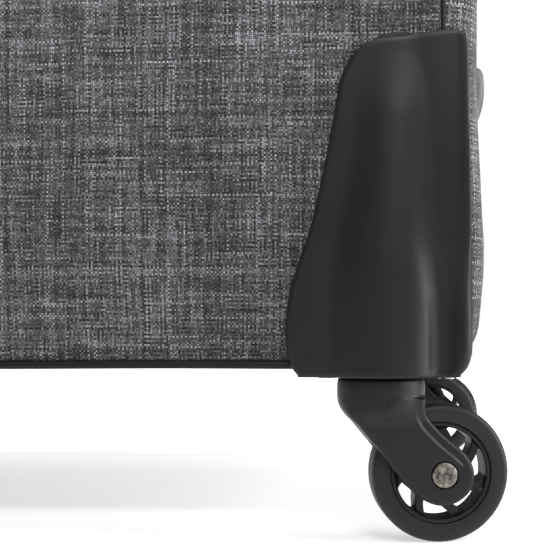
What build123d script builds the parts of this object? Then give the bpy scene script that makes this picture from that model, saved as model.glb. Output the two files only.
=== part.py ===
"""Softside upright suitcase on four single-wheel swivel casters.

Frame: origin on the floor under the middle of the case, +Z up, +Y towards the back
panel, -Y towards the front pockets. "left" is -X and "right" is +X, as seen from the
front. Millimetres.
"""
import math
import os

from build123d import *

os.makedirs("parts", exist_ok=True)

# ---------------------------------------------------------------- driving dimensions
HALF_W = 220.0          # body half width
BACK_Y = 135.0          # outer face of the back panel
SPLIT_Y = -60.0         # front edge of the main body, where the lid zip runs
FRONT_Y = -135.0        # outer face of the lower front panel
LOW_Z = 64.0            # underside of the body
TOP_Z = 664.0           # top of the body
SHELF_Z = 192.0         # top of the lower front panel; the lid starts above it
WALL = 6.0              # fabric, foam and board together
R_TOP = 45.0
R_LOW = 14.0
R_EDGE = 12.0

LID_LOW = 196.0
LID_BACK = -72.0
LID_FRONT = -122.0      # outer face of the lid's front panel
LID_WALL = 4.0

SWIVEL_X = 185.5
SWIVEL_Y = 125.0
WHEEL_R = 25.0
WHEEL_W = 14.0
RIM_R = 18.3
TRAIL = 21.0            # swivel axis to axle
TOE = 12.0              # rest angle of the casters from the X axis, degrees
HOUSING_Z = 59.5        # underside of the wheel housings
FORK_TOP = 59.0
AXLE_R = 3.0
SWIVEL_PIN_R = 4.0
BUSH_R = 7.0
RUN = 0.05              # running clearance on a radius

TUBE_X = 80.0
TUBE_Y = 115.0
GRIP_Z = 657.0

made = []


def keep(builder, name):
    builder.part.label = name
    made.append((name, builder.part))


# ---------------------------------------------------------------- body shell, cut into panels
with BuildPart() as outer_form:
    with BuildSketch(Plane.XZ.offset(-BACK_Y)):
        with Locations((0, (LOW_Z + TOP_Z) / 2)):
            Rectangle(2 * HALF_W, TOP_Z - LOW_Z)
        fillet(vertices().group_by(Axis.Y)[-1], R_TOP)
        fillet(vertices().group_by(Axis.Y)[0], R_LOW)
    extrude(amount=BACK_Y - FRONT_Y)
    with Locations((0, (FRONT_Y + SPLIT_Y) / 2 - 5, SHELF_Z + 300)):
        Box(600, SPLIT_Y - FRONT_Y + 10, 600, mode=Mode.SUBTRACT)
    fillet(faces().sort_by(Axis.Y)[-1].edges(), R_EDGE)
    fillet(faces().sort_by(Axis.Y)[0].edges(), R_EDGE)

with BuildPart() as inner_form:
    with BuildSketch(Plane.XZ.offset(-(BACK_Y - WALL))):
        with Locations((0, (LOW_Z + TOP_Z) / 2)):
            Rectangle(2 * (HALF_W - WALL), TOP_Z - LOW_Z - 2 * WALL)
        fillet(vertices().group_by(Axis.Y)[-1], R_TOP - WALL)
        fillet(vertices().group_by(Axis.Y)[0], R_LOW - WALL)
    extrude(amount=BACK_Y - WALL - (SPLIT_Y - 1))
    with Locations((0, (FRONT_Y + WALL + SPLIT_Y) / 2, (LOW_Z + WALL + SHELF_Z - WALL) / 2)):
        Box(2 * (HALF_W - WALL), SPLIT_Y - FRONT_Y - WALL, SHELF_Z - LOW_Z - 2 * WALL)
    with Locations((0, (-118 + SPLIT_Y) / 2, (LOW_Z + WALL + SHELF_Z + 5) / 2)):
        Box(2 * (HALF_W - WALL), SPLIT_Y + 118, SHELF_Z + 5 - LOW_Z - WALL)

TOWER_X = SWIVEL_X + 2.4   # the ribbed tower stands a little outboard of the swivel axis
with BuildPart() as shell:
    add(outer_form.part)
    add(inner_form.part, mode=Mode.SUBTRACT)
    # room for the four wheel towers
    with Locations(*[(sx * TOWER_X, sy * SWIVEL_Y, 80) for sx in (-1, 1) for sy in (-1, 1)]):
        Cylinder(18.0, 42, mode=Mode.SUBTRACT)
    with Locations(*[(sx * TOWER_X, sy * (SWIVEL_Y + 12), 82.5) for sx in (-1, 1) for sy in (-1, 1)]):
        Box(36, 24, 37, mode=Mode.SUBTRACT)
    # the telescopic handle's bezel, and the slots of the carry handles' legs
    with Locations((0, TUBE_Y, 655)):
        Box(224.4, 23.4, 30, mode=Mode.SUBTRACT)
    with Locations((-64.5, 20, 661), (64.5, 20, 661)):
        Box(5.6, 25.6, 10, mode=Mode.SUBTRACT)
    with Locations((217, 35, 430 - 64.5), (217, 35, 430 + 64.5)):
        Box(10, 25.6, 5.6, mode=Mode.SUBTRACT)


def panel(name, lo, hi):
    centre = [(a + b) / 2 for a, b in zip(lo, hi)]
    size = [b - a for a, b in zip(lo, hi)]
    with BuildPart() as piece:
        add(shell.part)
        with Locations(tuple(centre)):
            Box(*size, mode=Mode.INTERSECT)
    keep(piece, name)
    return piece


panel("back_panel", (-230, 125, 50), (230, 140, 680))
panel("front_lower_panel", (-230, -140, 50), (230, -118, 200))
panel("left_side_panel", (-230, -118, 82), (-205, 125, 619))
panel("right_side_panel", (205, -118, 82), (230, 125, 619))
panel("top_panel", (-230, SPLIT_Y - 1, 619), (230, 125, 680))
panel("base_panel", (-230, -118, 50), (230, 125, 82))

# ---------------------------------------------------------------- inside the body
with BuildPart() as inner_back_board:
    with BuildSketch(Plane.XZ.offset(-101.0)):
        with Locations((0, 356)):
            Rectangle(424, 560)
        fillet(vertices().group_by(Axis.Y)[-1], R_TOP - WALL)
        fillet(vertices().group_by(Axis.Y)[0], 8.5)
    extrude(amount=2.5)
keep(inner_back_board, "inner_back_board")

LIN = 0.9
with BuildPart() as main_lining:
    with BuildSketch(Plane.XZ.offset(-98.2)):
        with Locations((0, 364)):
            Rectangle(2 * 213.7, 2 * 293.7)
        fillet(vertices().group_by(Axis.Y)[-1], R_TOP - WALL)
        fillet(vertices().group_by(Axis.Y)[0], 7.5)
    extrude(amount=98.2 - SPLIT_Y)
    with BuildSketch(Plane.XZ.offset(-(98.2 - LIN))):
        with Locations((0, 364)):
            Rectangle(2 * (213.7 - LIN), 2 * (293.7 - LIN))
        fillet(vertices().group_by(Axis.Y)[-1], R_TOP - WALL - LIN)
        fillet(vertices().group_by(Axis.Y)[0], 6.6)
    extrude(amount=98.2 - LIN - SPLIT_Y + 5, mode=Mode.SUBTRACT)
    with Locations((-64.5, 20, 661), (64.5, 20, 661)):
        Box(6.2, 26.2, 12, mode=Mode.SUBTRACT)
    with Locations((216, 35, 430 - 64.5), (216, 35, 430 + 64.5)):
        Box(12, 26.2, 6.2, mode=Mode.SUBTRACT)
    # the tray floor and the towers stand below and behind the lining
    with Locations(*[(sx * TOWER_X, sy * SWIVEL_Y, 80) for sx in (-1, 1) for sy in (-1, 1)]):
        Cylinder(18.6, 44, mode=Mode.SUBTRACT)
keep(main_lining, "main_lining")

with BuildPart() as tie_straps:
    with BuildSketch(Plane.XZ.offset(-97.0)):
        for s in (-1, 1):
            with BuildLine():
                Polyline((s * 205, 300), (s * 205, 326), (s * 17, 380), (s * 17, 354), close=True)
            make_face()
    extrude(amount=1.6)
    with Locations((0, 94.9, 367)):
        Box(37, 4.4, 34)
keep(tie_straps, "tie_straps")


# ---------------------------------------------------------------- main zip halves
def zip_arch(name, y0, y1):
    with BuildPart() as arch:
        with BuildSketch(Plane.XZ.offset(-y0)):
            with Locations((0, (150 + TOP_Z - 1.5) / 2)):
                Rectangle(2 * (HALF_W - 1.5), TOP_Z - 1.5 - 150)
            fillet(vertices().group_by(Axis.Y)[-1], R_TOP - 1.5)
            with BuildSketch(mode=Mode.SUBTRACT):
                with Locations((0, (150 + TOP_Z - 3.5) / 2)):
                    Rectangle(2 * (HALF_W - 3.5), TOP_Z - 3.5 - 150)
                fillet(vertices().group_by(Axis.Y)[-1], R_TOP - 3.5)
            with Locations((0, 170)):
                Rectangle(600, 60, mode=Mode.SUBTRACT)
        extrude(amount=y0 - y1)
        z0, z1 = (SHELF_Z + 0.2, SHELF_Z + 1.8) if y0 == SPLIT_Y else (LID_LOW - 1.8, LID_LOW - 0.2)
        with BuildSketch(Plane.XY.offset(z0)):
            with Locations((0, (-121 - 66) / 2)):
                Rectangle(2 * (HALF_W - 1.5), 55)
            with Locations((0, (-118.5 - 60) / 2)):
                Rectangle(2 * (HALF_W - 4.0), 58.5, mode=Mode.SUBTRACT)
        extrude(amount=z1 - z0)
    keep(arch, name)


zip_arch("body_zip_half", SPLIT_Y, -65.0)
zip_arch("lid_zip_half", -67.0, LID_BACK)

# ---------------------------------------------------------------- wheel housing (right rear), then mirrored
with BuildPart() as housing:
    # face plate against the back panel
    with BuildSketch(Plane(origin=(SWIVEL_X, BACK_Y + 3.5, 0), x_dir=(1, 0, 0), z_dir=(0, -1, 0))):
        with BuildLine():
            Line((26.5, 59.5), (-26.0, 59.5))
            Spline((-26.0, 59.5), (-31.2, 63.8), (-33.2, 76.5), (-32.2, 88.0), (-28.6, 100.5),
                   (-24.3, 112.8), (-21.2, 126.0), (-18.3, 141.0), (-15.8, 153.0), (-13.4, 164.0),
                   (-9.4, 173.0), (-2.0, 178.2), (8.0, 179.8), (18.8, 181.0), (26.6, 181.3),
                   tangents=((-1, 0), (1, 0)))
            Spline((26.6, 181.3), (30.2, 179.6), (31.2, 175.0), tangents=((1, 0), (0, -1)))
            Line((31.2, 175.0), (33.0, 74.0))
            Spline((33.0, 74.0), (31.6, 64.6), (26.5, 59.5), tangents=((0, -1), (-1, -0.4)))
        make_face()
    extrude(amount=3.2)
    # foot plate under the body
    with BuildSketch(Plane.XY.offset(HOUSING_Z)):
        with Locations((SWIVEL_X + 1.0, 116.0)):
            RectangleRounded(60, 42, 10)
    extrude(amount=4.2)
    # tower that holds the swivel bearing, seen as the rib
    with Locations((TOWER_X, SWIVEL_Y, HOUSING_Z + 19)):
        Cylinder(17.0, 38)
    with BuildSketch(Plane.XY.offset(97.0)) as rib_low:
        with Locations((TOWER_X, SWIVEL_Y)):
            Circle(17.0)
    with BuildSketch(Plane.XY.offset(120.0)) as rib_mid:
        with Locations((SWIVEL_X + 2.1, SWIVEL_Y + 3.4)):
            Circle(13.2)
    with BuildSketch(Plane.XY.offset(145.0)) as rib_up:
        with Locations((SWIVEL_X + 3.6, SWIVEL_Y + 6.4)):
            Circle(9.2)
    with BuildSketch(Plane.XY.offset(171.0)) as rib_top:
        with Locations((SWIVEL_X + 5.2, SWIVEL_Y + 9.6)):
            Circle(4.6)
    loft(sections=[rib_low.sketch, rib_mid.sketch, rib_up.sketch, rib_top.sketch], ruled=True)
    # nothing of the upper rib lies inside the fabric
    with Locations((SWIVEL_X, 105.3, 147)):
        Box(90, 60, 92, mode=Mode.SUBTRACT)
    # bearing seat
    with Locations((SWIVEL_X, SWIVEL_Y, HOUSING_Z + 16)):
        Cylinder(BUSH_R, 34, mode=Mode.SUBTRACT)
    # screw holes in the foot plate
    with Locations((SWIVEL_X - 22, 103, 61), (SWIVEL_X + 24, 103, 61)):
        Cylinder(1.6, 10, mode=Mode.SUBTRACT)
    keep(housing, "rear_right_housing")

with BuildPart() as rear_left_housing:
    mirror(housing.part, about=Plane.YZ)
keep(rear_left_housing, "rear_left_housing")
with BuildPart() as front_right_housing:
    mirror(housing.part, about=Plane.XZ)
keep(front_right_housing, "front_right_housing")
with BuildPart() as front_left_housing:
    mirror(front_right_housing.part, about=Plane.YZ)
keep(front_left_housing, "front_left_housing")

corner = [(sx * SWIVEL_X, sy * SWIVEL_Y) for sx in (-1, 1) for sy in (-1, 1)]
with BuildPart() as swivel_bushes:
    with Locations(*[(x, y, 60.2 + 13.6) for x, y in corner]):
        Cylinder(BUSH_R, 27.2)
    with Locations(*[(x, y, 60.2 + 13.6) for x, y in corner]):
        Cylinder(SWIVEL_PIN_R + RUN, 28, mode=Mode.SUBTRACT)
keep(swivel_bushes, "swivel_bushes")

with BuildPart() as housing_screws:
    spots = [(sx * (SWIVEL_X + dx), sy * 103, 0) for sx in (-1, 1) for sy in (-1, 1) for dx in (-22, 24)]
    with Locations(*[(x, y, 61.3) for x, y, _ in spots]):
        Cylinder(1.6, 4.8)
    with Locations(*[(x, y, 58.6) for x, y, _ in spots]):
        Cylinder(3.2, 1.6)
    with Locations(*[(x, y, 57.9) for x, y, _ in spots]):
        Box(3.6, 0.8, 0.8, mode=Mode.SUBTRACT)
        Box(0.8, 3.6, 0.8, mode=Mode.SUBTRACT)
keep(housing_screws, "housing_screws")

# ---------------------------------------------------------------- caster, trail along +X about the origin
SLOT = WHEEL_W / 2 + 0.9
CHEEK = 12.3
with BuildPart() as fork_form:
    # outline of the fork seen along its axle
    with BuildSketch(Plane.XZ.offset(-16.0)):
        with BuildLine():
            Line((16.0, FORK_TOP), (-16.0, FORK_TOP))
            Spline((-16.0, FORK_TOP), (-15.5, 54.6), (-14.2, 50.0), (-11.8, 44.6), (-8.6, 39.4),
                   (-4.6, 34.6), (0.2, 29.0), (5.2, 23.4), (10.6, 18.6), (15.6, 15.2), (20.8, 14.0),
                   tangents=((0, -1), (1, 0)))
            Spline((20.8, 14.0), (28.6, 17.2), (31.9, 24.9), (30.2, 31.2), (25.6, 35.2), (20.6, 39.6),
                   (16.8, 44.2), (15.2, 48.6), (15.5, 53.0), (16.0, FORK_TOP), tangents=((1, 0), (0, 1)))
        make_face()
    extrude(amount=32.0)
    # seen from the front it narrows from the round neck to the two cheeks
    with BuildSketch(Plane.YZ.offset(-20.0)):
        with BuildLine():
            Polyline((-16, FORK_TOP), (16, FORK_TOP), (15.6, 50), (14.2, 43), (CHEEK, 36), (CHEEK, 10),
                     (-CHEEK, 10), (-CHEEK, 36), (-14.2, 43), (-15.6, 50), close=True)
        make_face()
    extrude(amount=60.0, mode=Mode.INTERSECT)
    # round neck
    with BuildSketch(Plane.XY.offset(46.0)):
        Circle(30)
        Circle(16.0, mode=Mode.SUBTRACT)
    extrude(amount=14.0, taper=0, mode=Mode.SUBTRACT)
    # wheel slot
    with Locations(Location((TRAIL, 0, WHEEL_R), (90, 0, 0))):
        Cylinder(WHEEL_R + 1.6, 2 * SLOT, mode=Mode.SUBTRACT)
    # axle bore with a seat for each rivet head
    with Locations(Location((TRAIL, 0, WHEEL_R), (90, 0, 0))):
        Cylinder(AXLE_R, 40, mode=Mode.SUBTRACT)
    with Locations(Location((TRAIL, CHEEK, WHEEL_R), (90, 0, 0)), Location((TRAIL, -CHEEK, WHEEL_R), (90, 0, 0))):
        Cylinder(4.9, 2.4, mode=Mode.SUBTRACT)
    # swivel pin hole
    with Locations((0, 0, 55)):
        Cylinder(SWIVEL_PIN_R, 15, mode=Mode.SUBTRACT)

with BuildPart() as pins_form:
    with Locations(Location((TRAIL, 0, WHEEL_R), (90, 0, 0))):
        Cylinder(AXLE_R, 2 * CHEEK)
    with Locations(Location((TRAIL, CHEEK - 0.5, WHEEL_R), (90, 0, 0)), Location((TRAIL, -CHEEK + 0.5, WHEEL_R), (90, 0, 0))):
        Cylinder(4.55, 1.4)
    fillet(edges().filter_by(GeomType.CIRCLE).group_by(Axis.Y)[-1], 0.4)
    fillet(edges().filter_by(GeomType.CIRCLE).group_by(Axis.Y)[0], 0.4)
    with Locations((0, 0, (48.0 + 88.6) / 2)):
        Cylinder(SWIVEL_PIN_R, 40.6)
    with Locations((0, 0, 89.2)):
        Cylinder(6.2, 1.6)

with BuildPart() as hub_form:
    with Locations(Location((TRAIL, 0, WHEEL_R), (90, 0, 0))):
        Cylinder(RIM_R, WHEEL_W - 2.0)
        Cylinder(16.6, WHEEL_W + 1, mode=Mode.SUBTRACT)
        Cylinder(7.2, WHEEL_W + 0.8)
    for k in range(7):
        a = -22 + k * 360 / 7
        with Locations(Location((TRAIL, 0, WHEEL_R), (0, -a, 0))):
            with Locations((11.9, 0, 0)):
                Box(10.4, 7.5, 3.3)
    with Locations(Location((TRAIL, 0, WHEEL_R), (90, 0, 0))):
        Cylinder(AXLE_R + RUN, WHEEL_W + 4, mode=Mode.SUBTRACT)

with BuildPart() as tyre_form:
    with Locations(Location((TRAIL, 0, WHEEL_R), (90, 0, 0))):
        Cylinder(WHEEL_R, WHEEL_W)
        Cylinder(RIM_R, WHEEL_W + 2, mode=Mode.SUBTRACT)
    fillet(edges().filter_by(GeomType.CIRCLE).filter_by(lambda e: e.radius > 24), 2.4)

rest_turn = {
    "rear_left": 180.0 + TOE, "rear_right": -TOE,
    "front_left": 180.0 - TOE, "front_right": TOE,
}
at = {
    "rear_left": (-SWIVEL_X, SWIVEL_Y, 0), "rear_right": (SWIVEL_X, SWIVEL_Y, 0),
    "front_left": (-SWIVEL_X, -SWIVEL_Y, 0), "front_right": (SWIVEL_X, -SWIVEL_Y, 0),
}
for where in at:
    for word, form in (("fork", fork_form), ("caster_pins", pins_form), ("wheel_hub", hub_form), ("tyre", tyre_form)):
        with BuildPart() as piece:
            with Locations(Location(at[where], (0, 0, rest_turn[where]))):
                add(form.part)
        keep(piece, f"{where}_{word}")

# ---------------------------------------------------------------- telescopic handle
with BuildPart() as handle_bezel:
    with BuildSketch(Plane.XY.offset(641)):
        with Locations((0, TUBE_Y)):
            RectangleRounded(224, 23, 5)
    extrude(amount=23)
    with BuildSketch(Plane.XY.offset(664)):
        with Locations((0, TUBE_Y)):
            RectangleRounded(234, 25, 6)
    extrude(amount=2.5)
    fillet(faces().sort_by(Axis.Z)[-1].edges(), 1.2)
    with BuildSketch(Plane.XY.offset(645)):
        with Locations((0, TUBE_Y)):
            RectangleRounded(216, 19, 4)
    extrude(amount=30, mode=Mode.SUBTRACT)
    with BuildSketch(Plane.XY.offset(640)):
        with Locations((-TUBE_X, TUBE_Y), (TUBE_X, TUBE_Y)):
            RectangleRounded(20, 11, 3.5)
    extrude(amount=10, mode=Mode.SUBTRACT)
keep(handle_bezel, "handle_bezel")


def tube_pair(name, w, d, r, wall, z0, z1):
    with BuildPart() as pair:
        with BuildSketch(Plane.XY.offset(z0)):
            with Locations((-TUBE_X, TUBE_Y), (TUBE_X, TUBE_Y)):
                RectangleRounded(w, d, r)
                RectangleRounded(w - 2 * wall, d - 2 * wall, r - wall, mode=Mode.SUBTRACT)
        extrude(amount=z1 - z0)
    keep(pair, name)
    return pair


tube_pair("handle_outer_tubes", 22, 13, 4.5, 1.0, 74, 641)
tube_pair("handle_middle_tubes", 19.4, 10.4, 3.2, 1.0, 92, 645)
inner_tubes = tube_pair("handle_inner_tubes", 16.8, 7.8, 1.9, 0.9, 104, 662)

with BuildPart() as handle_foot_bracket:
    with BuildSketch(Plane.XY.offset(70.2)):
        with Locations((0, TUBE_Y)):
            RectangleRounded(206, 19, 4)
    extrude(amount=14)
    with BuildSketch(Plane.XY.offset(74)):
        with Locations((-TUBE_X, TUBE_Y), (TUBE_X, TUBE_Y)):
            RectangleRounded(22, 13, 4.5)
    extrude(amount=20, mode=Mode.SUBTRACT)
keep(handle_foot_bracket, "handle_foot_bracket")

with BuildPart() as grip:
    with BuildSketch(Plane.XZ.offset(-(TUBE_Y + 8.5))):
        with BuildLine():
            Polyline((-104, 646.4), (-62, 646.4), (-55, GRIP_Z), (55, GRIP_Z), (62, 646.4), (104, 646.4),
                     (104, 668), (96, 677), (-96, 677), (-104, 668), close=True)
        make_face()
    extrude(amount=17)
    fillet(edges().filter_by(Axis.Y), 3.0)
    fillet(faces().sort_by(Axis.Z)[-1].edges().filter_by(Axis.X), 4.5)
    with Locations((0, TUBE_Y, 671)):
        Box(40.8, 10.8, 17, mode=Mode.SUBTRACT)
    with BuildSketch(Plane.XY.offset(640)):
        with Locations((-TUBE_X, TUBE_Y), (TUBE_X, TUBE_Y)):
            RectangleRounded(16.8, 7.8, 1.9)
    extrude(amount=22, mode=Mode.SUBTRACT)
keep(grip, "pull_handle_grip")

with BuildPart() as grip_button:
    with Locations((0, TUBE_Y, 674)):
        Box(40, 10, 10)
    fillet(edges().filter_by(Axis.Z), 2.0)
    fillet(faces().sort_by(Axis.Z)[-1].edges(), 1.5)
keep(grip_button, "grip_button")

with BuildPart() as button_spring:
    with BuildSketch(Plane.XY.offset(662.6)):
        with Locations((-12, TUBE_Y), (12, TUBE_Y)):
            Circle(3.2)
            Circle(2.2, mode=Mode.SUBTRACT)
    extrude(amount=6.3)
keep(button_spring, "button_springs")

# ---------------------------------------------------------------- carry handles and their end caps
with BuildPart() as top_carry_handle:
    with BuildSketch(Plane.XZ.offset(-32)):
        with BuildLine():
            Polyline((-67, 659), (-67, 680), (-60, 686), (60, 686), (67, 680), (67, 659), (62, 659),
                     (62, 673.5), (56, 677.5), (-56, 677.5), (-62, 673.5), (-62, 659), close=True)
        make_face()
    extrude(amount=24)
    fillet(edges().filter_by(Axis.Y).filter_by(lambda e: e.center().Z > 670), 2.0)
keep(top_carry_handle, "top_carry_handle")

with BuildPart() as side_carry_handle:
    with BuildSketch(Plane.XZ.offset(-47)):
        with BuildLine():
            Polyline((215, 363), (228, 363), (231.5, 369), (231.5, 491), (228, 497), (215, 497), (215, 492),
                     (226, 492), (226, 368), (215, 368), close=True)
        make_face()
    extrude(amount=24)
keep(side_carry_handle, "side_carry_handle")

with BuildPart() as carry_handle_caps:
    with BuildSketch(Plane.XY.offset(TOP_Z)):
        with Locations((-70, 20), (70, 20)):
            RectangleRounded(34, 40, 7)
    extrude(amount=7)
    fillet(faces().sort_by(Axis.Z)[-1].edges(), 2.5)
    with BuildSketch(Plane.YZ.offset(HALF_W)):
        with Locations((35, 360), (35, 500)):
            RectangleRounded(40, 34, 7)
    extrude(amount=5.5)
    with Locations((-64.5, 20, 668), (64.5, 20, 668)):
        Box(5.6, 24.6, 16, mode=Mode.SUBTRACT)
    with Locations((223, 35, 430 - 64.5), (223, 35, 430 + 64.5)):
        Box(14, 24.6, 5.6, mode=Mode.SUBTRACT)
keep(carry_handle_caps, "carry_handle_caps")

# ---------------------------------------------------------------- grey feet on the left side
with BuildPart() as side_feet:
    with BuildSketch(Plane.YZ.offset(-HALF_W)):
        with Locations((75, 171.5), (-20, 171.5), (75, 590), (-20, 590)):
            RectangleRounded(38, 19, 8.5)
    extrude(amount=-5.0)
    fillet(edges().group_by(Axis.X)[0], 2.6)
keep(side_feet, "side_feet")

# ---------------------------------------------------------------- lid
with BuildPart() as lid_gusset:
    with BuildSketch(Plane.XZ.offset(-LID_BACK)):
        with Locations((0, (LID_LOW + TOP_Z) / 2)):
            Rectangle(2 * HALF_W, TOP_Z - LID_LOW)
        fillet(vertices().group_by(Axis.Y)[-1], R_TOP)
        fillet(vertices().group_by(Axis.Y)[0], R_LOW)
        with BuildSketch(mode=Mode.SUBTRACT):
            with Locations((0, (LID_LOW + TOP_Z) / 2)):
                Rectangle(2 * (HALF_W - LID_WALL), TOP_Z - LID_LOW - 2 * LID_WALL)
            fillet(vertices().group_by(Axis.Y)[-1], R_TOP - LID_WALL)
            fillet(vertices().group_by(Axis.Y)[0], R_LOW - LID_WALL)
    extrude(amount=LID_BACK - LID_FRONT - LID_WALL)
keep(lid_gusset, "lid_gusset")

with BuildPart() as lid_front_panel:
    with BuildSketch(Plane.XZ.offset(-(LID_FRONT + LID_WALL))):
        with Locations((0, (LID_LOW + TOP_Z) / 2)):
            Rectangle(2 * HALF_W, TOP_Z - LID_LOW)
        fillet(vertices().group_by(Axis.Y)[-1], R_TOP)
        fillet(vertices().group_by(Axis.Y)[0], R_LOW)
    extrude(amount=LID_WALL)
    fillet(faces().sort_by(Axis.Y)[0].edges(), 3.0)
keep(lid_front_panel, "lid_front_panel")


def pocket(name, half_w, z0, z1, pad_half_w, pad_z0, pad_z1, y_out, r):
    # a flat border under the zip, and the pad that bulges out of it
    with BuildPart() as pad:
        with BuildSketch(Plane.XZ.offset(-(LID_FRONT - 0.2))):
            with Locations((0, (z0 + z1) / 2)):
                RectangleRounded(2 * half_w, z1 - z0, r)
        extrude(amount=5.0)
        fillet(faces().sort_by(Axis.Y)[0].edges(), 2.5)
        with BuildSketch(Plane.XZ.offset(-(LID_FRONT - 4.0))):
            with Locations((0, (pad_z0 + pad_z1) / 2)):
                RectangleRounded(2 * pad_half_w, pad_z1 - pad_z0, 24)
        extrude(amount=LID_FRONT - 4.0 - y_out, taper=32)
    keep(pad, name)


pocket("lower_pocket", 206, 201, 452, 196, 210, 420, -138.0, 18)
pocket("upper_pocket", 200, 474, 606, 190, 482, 574, -133.0, 18)

with BuildPart() as pocket_zips:
    for zc in (461.5, 615.5):
        with BuildSketch(Plane.XZ.offset(-(LID_FRONT - 0.2))):
            with Locations((0, zc - 3.6), (0, zc + 3.6)):
                Rectangle(372, 5.2)
        extrude(amount=1.8)
keep(pocket_zips, "pocket_zips")

with BuildPart() as lid_mesh_pocket:
    with Locations((0, -116.8, 400)):
        Box(380, 1.6, 330)
    with Locations((0, -116.4, 561)):
        Box(380, 2.6, 12)
keep(lid_mesh_pocket, "lid_mesh_pocket")


# ---------------------------------------------------------------- zip sliders and pulls
# Drawn on a face whose outward normal is local +X: the bridge runs along local Y, which is
# the way the slider travels, and the pull hangs from it towards local -Z.
BAR = 4.4
with BuildPart() as slider_form:
    with BuildSketch(Plane.YZ.offset(0.3)):
        RectangleRounded(14, 10.5, 3)
    extrude(amount=1.6)
    with Locations((-0.5, 0, 0)):
        Box(1.8, 9, 1.2)
    with Locations((3.2, -4.4, 0), (3.2, 4.4, 0)):
        Box(3.6, 1.4, 3.4)
    with Locations(Location((BAR, 0, 0), (90, 0, 0))):
        Cylinder(0.8, 8.0)
with BuildPart() as pull_form:
    with Locations(Location((BAR, 0, 0), (90, 0, 0))):
        Cylinder(2.0, 6.4)
    with BuildSketch(Plane.YZ.offset(BAR - 0.8)):
        with Locations((0, -4)):
            Rectangle(6.0, 8)
        with Locations((0, -21)):
            RectangleRounded(9.5, 30, 3.5)
        with Locations((0, -31)):
            Circle(1.8, mode=Mode.SUBTRACT)
    extrude(amount=1.6)
    with Locations(Location((BAR, 0, 0), (90, 0, 0))):
        Cylinder(1.1, 7, mode=Mode.SUBTRACT)

ZIP_TOP = TOP_Z - 1.5
POCKET_ZIP_Y = LID_FRONT - 2.0
spots = {
    "main_left": Plane(origin=(-8, -66, ZIP_TOP), x_dir=(0, 0, 1), z_dir=(0, 1, 0)),
    "main_right": Plane(origin=(8, -66, ZIP_TOP), x_dir=(0, 0, 1), z_dir=(0, 1, 0)),
    "lower_pocket": Plane(origin=(165, POCKET_ZIP_Y, 461.5), x_dir=(0, -1, 0), z_dir=(0, 0, 1)),
    "upper_pocket": Plane(origin=(165, POCKET_ZIP_Y, 615.5), x_dir=(0, -1, 0), z_dir=(0, 0, 1)),
}
for name, where in spots.items():
    for word, form in (("slider", slider_form), ("pull", pull_form)):
        with BuildPart() as piece:
            with Locations(where):
                add(form.part)
        keep(piece, f"{name}_{word}")

# ---------------------------------------------------------------- fabric hinge of the lid
with BuildPart() as lid_hinge_strip:
    with Locations((-(HALF_W + 0.8), -66, 405)):
        Box(1.2, 22, 380)
keep(lid_hinge_strip, "lid_hinge_strip")

for name, part in made:
    export_step(part, f"parts/{name}.step")
print(len(made), "pieces")
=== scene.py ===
"""Softside upright suitcase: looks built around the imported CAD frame. Lengths below are in mm unless they go to Blender."""
import math

import bmesh
import bpy
import numpy as np
from mathutils import Matrix, Vector


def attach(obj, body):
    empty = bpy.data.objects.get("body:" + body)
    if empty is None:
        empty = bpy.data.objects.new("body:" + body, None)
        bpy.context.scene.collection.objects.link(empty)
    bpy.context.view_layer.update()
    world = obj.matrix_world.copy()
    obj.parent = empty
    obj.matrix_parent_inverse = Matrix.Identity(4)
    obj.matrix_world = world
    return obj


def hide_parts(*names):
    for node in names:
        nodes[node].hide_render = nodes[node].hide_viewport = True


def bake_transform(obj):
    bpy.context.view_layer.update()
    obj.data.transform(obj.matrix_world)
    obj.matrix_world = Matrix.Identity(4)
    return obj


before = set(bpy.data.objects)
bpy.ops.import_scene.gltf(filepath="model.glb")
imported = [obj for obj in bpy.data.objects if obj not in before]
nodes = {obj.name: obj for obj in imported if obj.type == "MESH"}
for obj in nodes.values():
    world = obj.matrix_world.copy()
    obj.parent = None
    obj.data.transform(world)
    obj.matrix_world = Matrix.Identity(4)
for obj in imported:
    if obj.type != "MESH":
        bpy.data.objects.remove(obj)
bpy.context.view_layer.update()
MM = 0.001

HALF_W, BACK_Y, SPLIT_Y, FRONT_Y = 220.0, 135.0, -60.0, -135.0
LOW_Z, TOP_Z, SHELF_Z = 64.0, 664.0, 192.0
R_TOP, R_LOW = 45.0, 14.0
ROLL = 14.0
SEAM_IN = 12.0
LID_LOW, LID_BACK, LID_FRONT = 196.0, -72.0, -122.0
SWX, SWY, TRAIL, TOE = 185.5, 125.0, 21.0, 12.0


# ------------------------------------------------------------------ numpy helpers
def smooth(a, b, x):
    t = np.clip((x - a) / (b - a), 0.0, 1.0)
    return t * t * (3 - 2 * t)


def gauss(x, s):
    return np.exp(-0.5 * (x / s) ** 2)


def smin(a, b, k):
    h = np.clip(0.5 + 0.5 * (b - a) / k, 0, 1)
    return b * (1 - h) + a * h - k * h * (1 - h)


def smax(a, b, k):
    return -smin(-a, -b, k)


def waves(seed, lo, hi, n=14):
    """A smooth field of two variables, about -1 to 1, with wavelengths from lo to hi mm."""
    r = np.random.RandomState(seed)
    wl = np.exp(r.uniform(math.log(lo), math.log(hi), n))
    th = r.uniform(0, 2 * math.pi, n)
    ph = r.uniform(0, 2 * math.pi, n)
    am = (wl / hi) ** 0.6
    am = am / np.sqrt((am ** 2).sum()) * 0.9

    def f(u, v):
        out = np.zeros(np.broadcast(u, v).shape)
        for w, t, p, a in zip(wl, th, ph, am):
            out = out + a * np.sin(2 * math.pi / w * (u * math.cos(t) + v * math.sin(t)) + p)
        return out
    return f


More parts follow.
